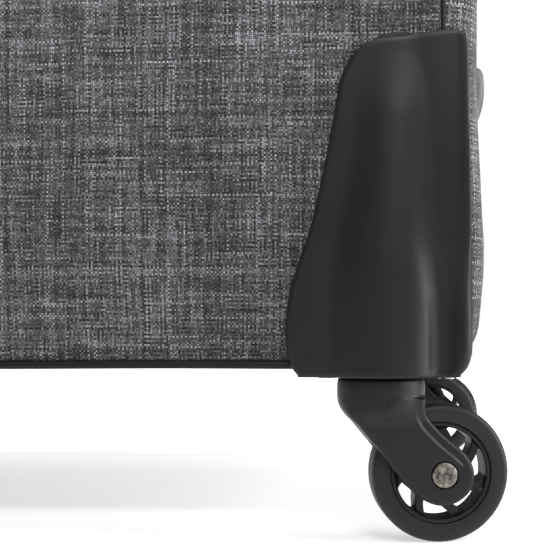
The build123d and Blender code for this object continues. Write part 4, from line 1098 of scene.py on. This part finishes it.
bind.append(ribbon(np.stack([xs, sag(xs, zt + 0 * xs) - 0.1, zt + 4 - 1.5 * np.sin((xs + hw) / (2 * hw) * math.pi)], 1), (0, 0, 1), 12, 1.8, 0.5))
V, F, Wv = merged(bind)
net_bind = add(new_object("lid_net_binding", V, F, M["webbing"], Wv), "lid", slot="mesh")


# ------------------------------------------------------------------ padded front pockets, blown up as cloth
def weave_from_xz(ob):
    me = ob.data
    n = len(me.vertices)
    co = np.empty(n * 3, np.float32)
    me.vertices.foreach_get("co", co)
    co = co.reshape(-1, 3) * 1000
    nr = np.empty(n * 3, np.float32)
    me.vertices.foreach_get("normal", nr)
    nr = np.abs(nr.reshape(-1, 3))
    at = me.attributes.get("weave") or me.attributes.new("weave", "FLOAT_VECTOR", "POINT")
    w = np.zeros((n, 3), np.float32)
    w[:, 0] = co[:, 0] - co[:, 1] * (nr[:, 0] > 0.8)
    w[:, 1] = co[:, 2] + co[:, 1] * (nr[:, 2] > 0.8)
    at.data.foreach_set("vector", w.ravel())


def active(ob):
    for o in bpy.context.selected_objects:
        o.select_set(False)
    bpy.context.view_layer.objects.active = ob
    ob.select_set(True)


def padded_pocket(node, name, cap):
    src = nodes[node]
    ob = bpy.data.objects.new(name, src.data.copy())
    bpy.context.collection.objects.link(ob)
    ob.data.materials.clear()
    ob.data.materials.append(M["cloth"])
    bm = bmesh.new()
    bm.from_mesh(ob.data)
    bmesh.ops.remove_doubles(bm, verts=bm.verts, dist=1e-5)
    bm.to_mesh(ob.data)
    bm.free()
    active(ob)
    r = ob.modifiers.new("remesh", "REMESH")
    r.mode = "VOXEL"
    r.voxel_size = 0.0045
    bpy.ops.object.modifier_apply(modifier=r.name)
    me = ob.data
    n = len(me.vertices)
    co = np.empty(n * 3, np.float32)
    me.vertices.foreach_get("co", co)
    rest = co.reshape(-1, 3).copy()
    vg = ob.vertex_groups.new(name="pin")
    back = [int(i) for i in np.nonzero(rest[:, 1] > -0.1238)[0]]
    vg.add(back, 1.0, "REPLACE")
    cl = ob.modifiers.new("cloth", "CLOTH")
    s = cl.settings
    s.quality = 5
    s.use_pressure = True
    s.uniform_pressure_force = 4.0
    s.effector_weights.gravity = 0.0
    s.vertex_group_mass = "pin"
    s.tension_stiffness = 18
    s.compression_stiffness = 12
    s.bending_stiffness = 0.4
    cl.collision_settings.use_collision = False
    for fr in range(1, 21):
        bpy.context.scene.frame_set(fr)
    dg = bpy.context.evaluated_depsgraph_get()
    ev = ob.evaluated_get(dg)
    out = np.empty(n * 3, np.float32)
    ev.data.vertices.foreach_get("co", out)
    out = out.reshape(-1, 3)
    ob.modifiers.remove(cl)
    bpy.context.scene.frame_set(1)
    dlt = out - rest
    ln = np.linalg.norm(dlt, axis=1)
    dlt *= (np.minimum(ln, cap * MM) / np.maximum(ln, 1e-9))[:, None]
    new = rest + dlt
    x, z = new[:, 0] * 1000, new[:, 2] * 1000
    zlo, zhi = rest[:, 2].min() * 1000, rest[:, 2].max() * 1000
    half = rest[:, 0].max() * 1000
    front = rest[:, 1] < -0.1245
    d = np.minimum(half - np.abs(x), np.minimum(zhi - z, z - zlo))
    slack = (0.7 * W1(x, z) + 0.25 * W2(x, z)) * smooth(4, 40, d)
    new[:, 1] += np.where(front, -slack * MM, 0)
    # a sewn channel runs inside the edge
    new[:, 1] += np.where(front, 0.9 * MM * np.exp(-((d - 9) / 1.8) ** 2), 0)
    # it lies flat under its zip pull
    pull = smooth(zhi - 52, zhi - 31, z)
    new[:, 1] = np.where(front & (z > zhi - 52), np.maximum(new[:, 1], -0.1430 + 0.0160 * pull), new[:, 1])
    new[:, 1] = np.minimum(new[:, 1], -0.1218)
    me.vertices.foreach_set("co", new.astype(np.float32).ravel())
    me.update()
    sub = ob.modifiers.new("sub", "SUBSURF")
    sub.levels = sub.render_levels = 1
    bpy.ops.object.modifier_apply(modifier=sub.name)
    me = ob.data
    me.polygons.foreach_set("use_smooth", [True] * len(me.polygons))
    weave_from_xz(ob)
    return add(ob, "lid", node, slot="body_fabric")


padded_pocket("lower_pocket", "lower_pocket_pad", 5.0)
padded_pocket("upper_pocket", "upper_pocket_pad", 4.0)
pk = []
for half, z0, z1 in ((206.3, 200.8, 452.3), (200.3, 473.7, 606.3)):
    P, _, _ = perimeter(half, z0, z1, 18, 18, True, 4.0)
    pk.append(tube(np.stack([P[:, 0], np.full(len(P), -123.0), P[:, 1]], 1), 1.3, 8, True))
V, F, _ = merged(pk)
add(new_object("pocket_piping", V, F, M["piping"]), "lid", slot="zip_tape")
tp, tt = [], []
for zc in (461.5, 615.5):
    xs = np.linspace(-185, 185, 80)
    for sg in (-1, 1):
        V, F, Wv = ribbon(np.stack([xs, -123.0 + 0 * xs, zc + sg * 3.9 + 0 * xs], 1), (0, 0, 1), 5.6, 0.8)
        tp.append((V, F, Wv))
        tt.append(teeth(np.stack([xs, -123.6 + 0 * xs, zc + sg * 0.55 + 0 * xs], 1), (0, 0, 1), 2.1, 1.05 * (sg > 0), size=(0.62, 0.8, 0.5)))
V, F, Wv = merged(tp)
add(new_object("pocket_zip_tape", V, F, M["tape"], Wv), "lid", "pocket_zips", slot="zip_tape")
V, F, _ = merged(tt)
add(new_object("pocket_zip_teeth", V, F, M["coil"], smooth_shade=False), "lid", slot="zip_tape")

# ------------------------------------------------------------------ fabric hinge strip
ys = np.linspace(-55, -77, 14)
zs = np.linspace(215, 595, 70)
sec = [(-221.55 - 0.25 * math.sin((y + 77) / 22 * math.pi), y) for y in ys] + [(-220.75, y) for y in ys[::-1]]
V = np.array([[(sx_, y, z) for sx_, y in sec] for z in zs])
wv = np.array([[(y, z) for sx_, y in sec] for z in zs])
strip = new_object("hinge_cloth", V.reshape(-1, 3), grid_faces(70, len(sec), True, False, True), M["webbing"], wv.reshape(-1, 2))
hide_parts("lid_hinge_strip")
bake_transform(strip)

# ------------------------------------------------------------------ tie-down straps
st = []
for sx in (-1, 1):
    t = np.linspace(0, 1, 50)
    xs, zz = sx * (206 - 190 * t), 313 + 54 * t
    yy = 96.2 - 1.2 * np.sin(t * math.pi) - 0.25 * np.sin(t * 17)
    st.append(ribbon(np.stack([xs, yy, zz], 1), (0, 0, 1), 25, 1.3))
V, F, Wv = merged(st)
straps = new_object("tie_webbing", V, F, M["webbing"], Wv)
add(straps, "case", "tie_straps", slot="webbing")


def buckle_f(x, y, z):
    b = box_sdf(x, y, z, (0, 94.2, 367), (20, 2.6, 16.5), 2.2)
    b = smax(b, -box_sdf(x, y, z, (-12.5, 92.2, 367), (3.2, 1.6, 12.5), 1.0), 0.4)
    b = smax(b, -box_sdf(x, y, z, (12.5, 92.2, 367), (3.2, 1.6, 12.5), 1.0), 0.4)
    return smin(b, box_sdf(x, y, z, (0, 92.4, 367), (4.6, 1.6, 9.0), 1.4), 0.6)


V, F = net(buckle_f, (-21, 90, 349.5), (21, 97.5, 384.5), 0.8)
add(new_object("tie_buckle", V, F, M["charcoal"]), "case", slot="charcoal_plastic")

# ------------------------------------------------------------------ telescopic handle
TX, TY = 80.0, 115.0


def bezel_f(x, y, z):
    dy = y - TY
    well = smax(box_sdf(x, dy, z, (0, 0, 652), (112, 11.5, 12), 4.5), 641 - z, 0.3)
    rim = smax(box_sdf(x, dy, z * 0, (0, 0, 0), (117, 12.5, 50), 6.0), np.abs(z - 665.2) - 1.3, 1.1)
    f = np.minimum(well, rim)
    f = smax(f, -np.maximum(box_sdf(x, dy, z * 0, (0, 0, 0), (108, 9.6, 50), 4.2), 645.0 - z), 0.5)
    hole = box_sdf(np.abs(x) - TX, dy, z * 0, (0, 0, 0), (10.0, 5.5, 50), 3.5)
    return smax(f, -hole, 0.25)


V, F = net(bezel_f, (-118, 101.5, 640), (118, 128.5, 667.5), 1.0)
add(new_object("handle_bezel_moulding", V, F, M["charcoal"]), "case", "handle_bezel", slot="charcoal_plastic")


def grip_f(x, y, z):
    dy = y - TY
    under = 646.6 + 10.6 * smooth(64, 53, np.abs(x)) - 1.0 * gauss(x, 26)
    top = 676.9 - 0.00055 * x * x - 0.05 * dy * dy
    f = smax(smax(under - z, z - top, 4.0), np.abs(dy) - (8.4 - 0.5 * gauss(x, 40) * smooth(670, 655, z)), 3.4)
    f = smax(f, np.abs(x) - 103.8, 5.0)
    f = smax(f, -box_sdf(x, dy, z, (0, 0, 672), (20.4, 5.4, 9.4), 2.2), 0.35)
    hole = np.maximum(box_sdf(np.abs(x) - TX, dy, z * 0, (0, 0, 0), (8.4, 3.9, 50), 1.9), z - 662.0)
    return smax(f, -hole, 0.2)


V, F = net(grip_f, (-105, 105.5, 645), (105, 124.5, 678.5), 0.9)
add(new_object("pull_handle_moulding", V, F, M["charcoal"]), "handle_inner", "pull_handle_grip", slot="charcoal_plastic")


def button_f(x, y, z):
    dy = y - TY
    f = smax(box_sdf(x, dy, z, (0, 0, 673.8), (19.8, 4.8, 4.9), 1.6), z - (678.8 - 0.0022 * x * x), 0.8)
    return smax(f, -(np.hypot(x, (z - 690.2)) - 12.2), 0.5)


V, F = net(button_f, (-21, 109, 668.4), (21, 121, 679.5), 0.6)
add(new_object("grip_button_moulding", V, F, M["foot"]), "button", "grip_button", slot="charcoal_plastic")
cs = []
for cx in (-12, 12):
    a = np.linspace(0, 5 * 2 * math.pi, 140)
    cs.append(tube(np.stack([cx + 2.7 * np.cos(a), TY + 2.7 * np.sin(a), 663.1 + 2.9 * a / a[-1]], 1), 0.38, 6))
V, F, _ = merged(cs)
add(new_object("button_coil_springs", V, F, M["steel"]), "handle_inner", "button_springs", slot="pin_metal")


# ------------------------------------------------------------------ carry handles: webbing with a padded sleeve
def strap_line(n=60):
    """Positions along the strap in mm, closer together towards its ends."""
    a = np.concatenate([[-64.5, -64.5, -64.2, -63.0, -60.5, -56.0], np.linspace(-50, 50, 30), [56.0, 60.5, 63.0, 64.2, 64.5, 64.5]])
    return a


along = strap_line()
rise_top = np.interp(np.abs(along), [0, 30, 50, 56, 60.5, 63.0, 64.2, 64.5], [17.4, 16.9, 15.6, 14.2, 11.6, 8.0, 4.0, 2.0])
rise_top[0] = rise_top[-1] = -4.5
rise_side = np.interp(np.abs(along), [0, 30, 50, 56, 60.5, 63.0, 64.2, 64.5], [9.0, 9.0, 8.7, 8.2, 7.4, 6.0, 3.2, 1.0])
rise_side[0] = rise_side[-1] = -4.5
V, F, Wv = ribbon(np.stack([along, 20 + 0 * along, 664 + rise_top], 1), (0, 1, 0), 23.4, 2.6, 0.9)
add(new_object("top_strap_webbing", V, F, M["webbing"], Wv), "top_handle", "top_carry_handle", slot="webbing")
V, F, Wv = ribbon(np.stack([220 + rise_side, 35 + 0 * along, 430 + along], 1), (0, 1, 0), 23.4, 2.4, 0.9)
add(new_object("side_strap_webbing", V, F, M["webbing"], Wv), "side_handle", "side_carry_handle", slot="webbing")


def sleeve_f(x, y, z, rise, thick):
    mid = rise(x)
    f = smax(smax(np.abs(z - mid) - thick, np.abs(y) - 13.2, thick * 0.95), np.abs(x) - 51.5, 1.6)
    # stitched edge channel and end bars
    f = f + 0.45 * gauss(np.abs(y) - 10.4, 0.7) * (np.abs(x) < 49) + 0.5 * gauss(np.abs(x) - 47.5, 0.8)
    return f + 0.22 * np.sin(x / 5.0 + np.sin(y / 4.0)) * smooth(10, 0, np.abs(y))


V, F = net(lambda x, y, z: sleeve_f(x, y, z, lambda x: np.interp(np.abs(x), [0, 30, 52], [17.4, 16.9, 15.4]), 4.0), (-53, -15, 9), (53, 15, 23), 0.9)
P = np.stack([V[:, 0], 20 + V[:, 1], 664 + V[:, 2]], 1)
add(new_object("top_handle_sleeve", P, F, M["webbing"], V[:, :2]), "top_handle", slot="webbing")
V, F = net(lambda x, y, z: sleeve_f(x, y, z, lambda x: np.interp(np.abs(x), [0, 30, 52], [9.0, 9.0, 8.6]), 2.4), (-53, -15, 4), (53, 15, 14), 0.8)
P = np.stack([220 + V[:, 2], 35 + V[:, 1], 430 + V[:, 0]], 1)
add(new_object("side_handle_sleeve", P, F[:, ::-1], M["webbing"], V[:, :2]), "side_handle", slot="webbing")


def cap_f(u, v, h, top):
    """u along the strap, away from the slot; v across it."""
    f = smax(box_sdf(u, v, h * 0, (0, 0, 0), (17, 20, 50), 7.5), h - (top - 0.006 * v * v - 0.05 * np.maximum(u - 4, 0) ** 1.5), 1.6)
    f = smax(f, -h - 0.8, 0.2)
    f = smax(f, -box_sdf(u, v, h, (-5.5, 0, 0), (2.85, 12.35, 30), 0.5), 0.6)
    return smin(f, smax(np.hypot((u - 6.5), v) - 2.6, h - top + 0.4, 0.6), 0.2) + 0.5 * gauss(np.hypot(u - 6.5, v) - 3.3, 0.4) * (h > 1)


caps = []
for hx, sg in ((-70, -1), (70, 1)):
    V, F = net(lambda u, v, h: cap_f(u, v, h, 6.8), (-18, -21, -1.2), (18, 21, 7.6), 0.9)
    caps.append((np.stack([hx + sg * V[:, 0], 20 + V[:, 1], 664 + V[:, 2]], 1), F if sg > 0 else F[:, ::-1]))
for hz, sg in ((360, -1), (500, 1)):
    V, F = net(lambda u, v, h: cap_f(u, v, h, 5.4), (-18, -21, -1.2), (18, 21, 6.4), 0.9)
    caps.append((np.stack([220 + V[:, 2], 35 + V[:, 1], 430 + (hz - 430) + sg * V[:, 0]], 1), F if sg < 0 else F[:, ::-1]))
V, F, _ = merged(caps)
add(new_object("carry_handle_cap_mouldings", V, F, M["charcoal"]), "case", "carry_handle_caps", slot="charcoal_plastic")


# ------------------------------------------------------------------ CAD pieces that stay, with their materials
def dress(names, mat):
    for nme in names:
        o = nodes[nme]
        if not o.material_slots:
            o.data.materials.append(mat)
        for sl in o.material_slots:
            sl.material = mat


dress(["swivel_bushes", "housing_screws"], M["steel"])
dress(["handle_outer_tubes", "handle_middle_tubes", "handle_inner_tubes"], M["alu"])
dress(["handle_foot_bracket"], M["charcoal"])
dress(["inner_back_board"], M["board"])
dress([n for n in nodes if n.endswith("_slider") or n.endswith("_pull")], M["zinc"])

# ------------------------------------------------------------------ stage, light, camera
def area(name, loc, to, size, power, color=(1, 1, 1)):
    l = bpy.data.lights.new(name, "AREA")
    l.shape = "RECTANGLE"
    l.size, l.size_y = size
    l.energy = power
    l.color = color
    o = bpy.data.objects.new(name, l)
    bpy.context.collection.objects.link(o)
    o.location = loc
    o.rotation_euler = (Vector(to) - Vector(loc)).to_track_quat("-Z", "Y").to_euler()
    return o


floor_me = bpy.data.meshes.new("floor")
ring = [(2.4 * math.cos(math.radians(a)), 2.4 * math.sin(math.radians(a)), 0) for a in range(0, 360, 5)]
floor_me.from_pydata(ring, [], [list(range(72))])
floor = bpy.data.objects.new("floor", floor_me)
bpy.context.collection.objects.link(floor)
# pale, and glowing: 0.58 over the middle, which lifts the cast shadow under the case and lights it from below, rising
# to 1.0 towards its rim so that it runs into the white studio without a line; the glow is painted light
ft = Mat("floor_pale_glowing")
ft.put(ft.b.inputs["Base Color"], ft.ramp(ft.noise(object_mm(ft), 0.004, 2.0), [(0.0, (0.84, 0.84, 0.84)), (1.0, (0.88, 0.88, 0.88))]))
ft.b.inputs["Roughness"].default_value = 0.9
ft.b.inputs["Specular IOR Level"].default_value = 0.1
far = ft.node("ShaderNodeVectorMath", operation="LENGTH")
ft.put(far.inputs[0], object_mm(ft))
mr = ft.node("ShaderNodeMapRange", interpolation_type="SMOOTHSTEP")
for k, v in (("From Min", 350.0), ("From Max", 1300.0), ("To Min", 0.58), ("To Max", 1.0)):
    mr.inputs[k].default_value = v
ft.put(mr.inputs["Value"], far.outputs["Value"])
ft.b.inputs["Emission Color"].default_value = (1, 1, 1, 1)
ft.put(ft.b.inputs["Emission Strength"], mr.outputs[0])
floor_me.materials.append(ft.m)

world = bpy.data.worlds.new("studio")
bpy.context.scene.world = world
world.use_nodes = True
world.node_tree.nodes["Background"].inputs[0].default_value = (1, 1, 1, 1)
wt = world.node_tree
path = wt.nodes.new("ShaderNodeLightPath")
level = wt.nodes.new("ShaderNodeMapRange")
level.inputs["To Min"].default_value = 0.07
level.inputs["To Max"].default_value = 1.0
wt.links.new(path.outputs["Is Camera Ray"], level.inputs["Value"])
wt.links.new(level.outputs[0], wt.nodes["Background"].inputs[1])
key = area("key", (-0.40, 0.90, 0.98), (-0.18, 0.13, 0.60), (0.4, 0.4), 3.3)
key.data.spread = math.radians(56)
area("rim", (-1.7, 0.15, 0.6), (-0.2, 0.1, 0.2), (0.9, 1.2), 31)
area("front", (0.9, -2.1, 1.6), (0.0, 0.0, 0.35), (1.6, 1.6), 30)
area("top", (0.1, 0.0, 2.9), (0.0, 0.0, 0.5), (2.2, 2.2), 70)

cam_data = bpy.data.cameras.new("camera")
cam = bpy.data.objects.new("camera", cam_data)
bpy.context.collection.objects.link(cam)
F_PX, VPX, VPY = 985.0, 432.0, 329.0
cam_data.sensor_width = 36.0
cam_data.lens = 36.0 * F_PX / 560.0
yaw_px = 68.0
yaw = math.atan(yaw_px / F_PX)
cam_data.shift_x = -(VPX - 280.0 - yaw_px) / 560.0
cam_data.shift_y = (VPY - 280.0) / 560.0
cam_data.clip_start = 0.02
cam.location = (-0.204, 0.482, 0.0768)
# looks along -Y, then turns towards +X by the yaw, which is towards the left of the picture
cam.rotation_euler = (math.radians(90), 0, math.radians(180) + yaw)
bpy.context.scene.camera = cam
bpy.context.scene.view_settings.view_transform = "Standard"
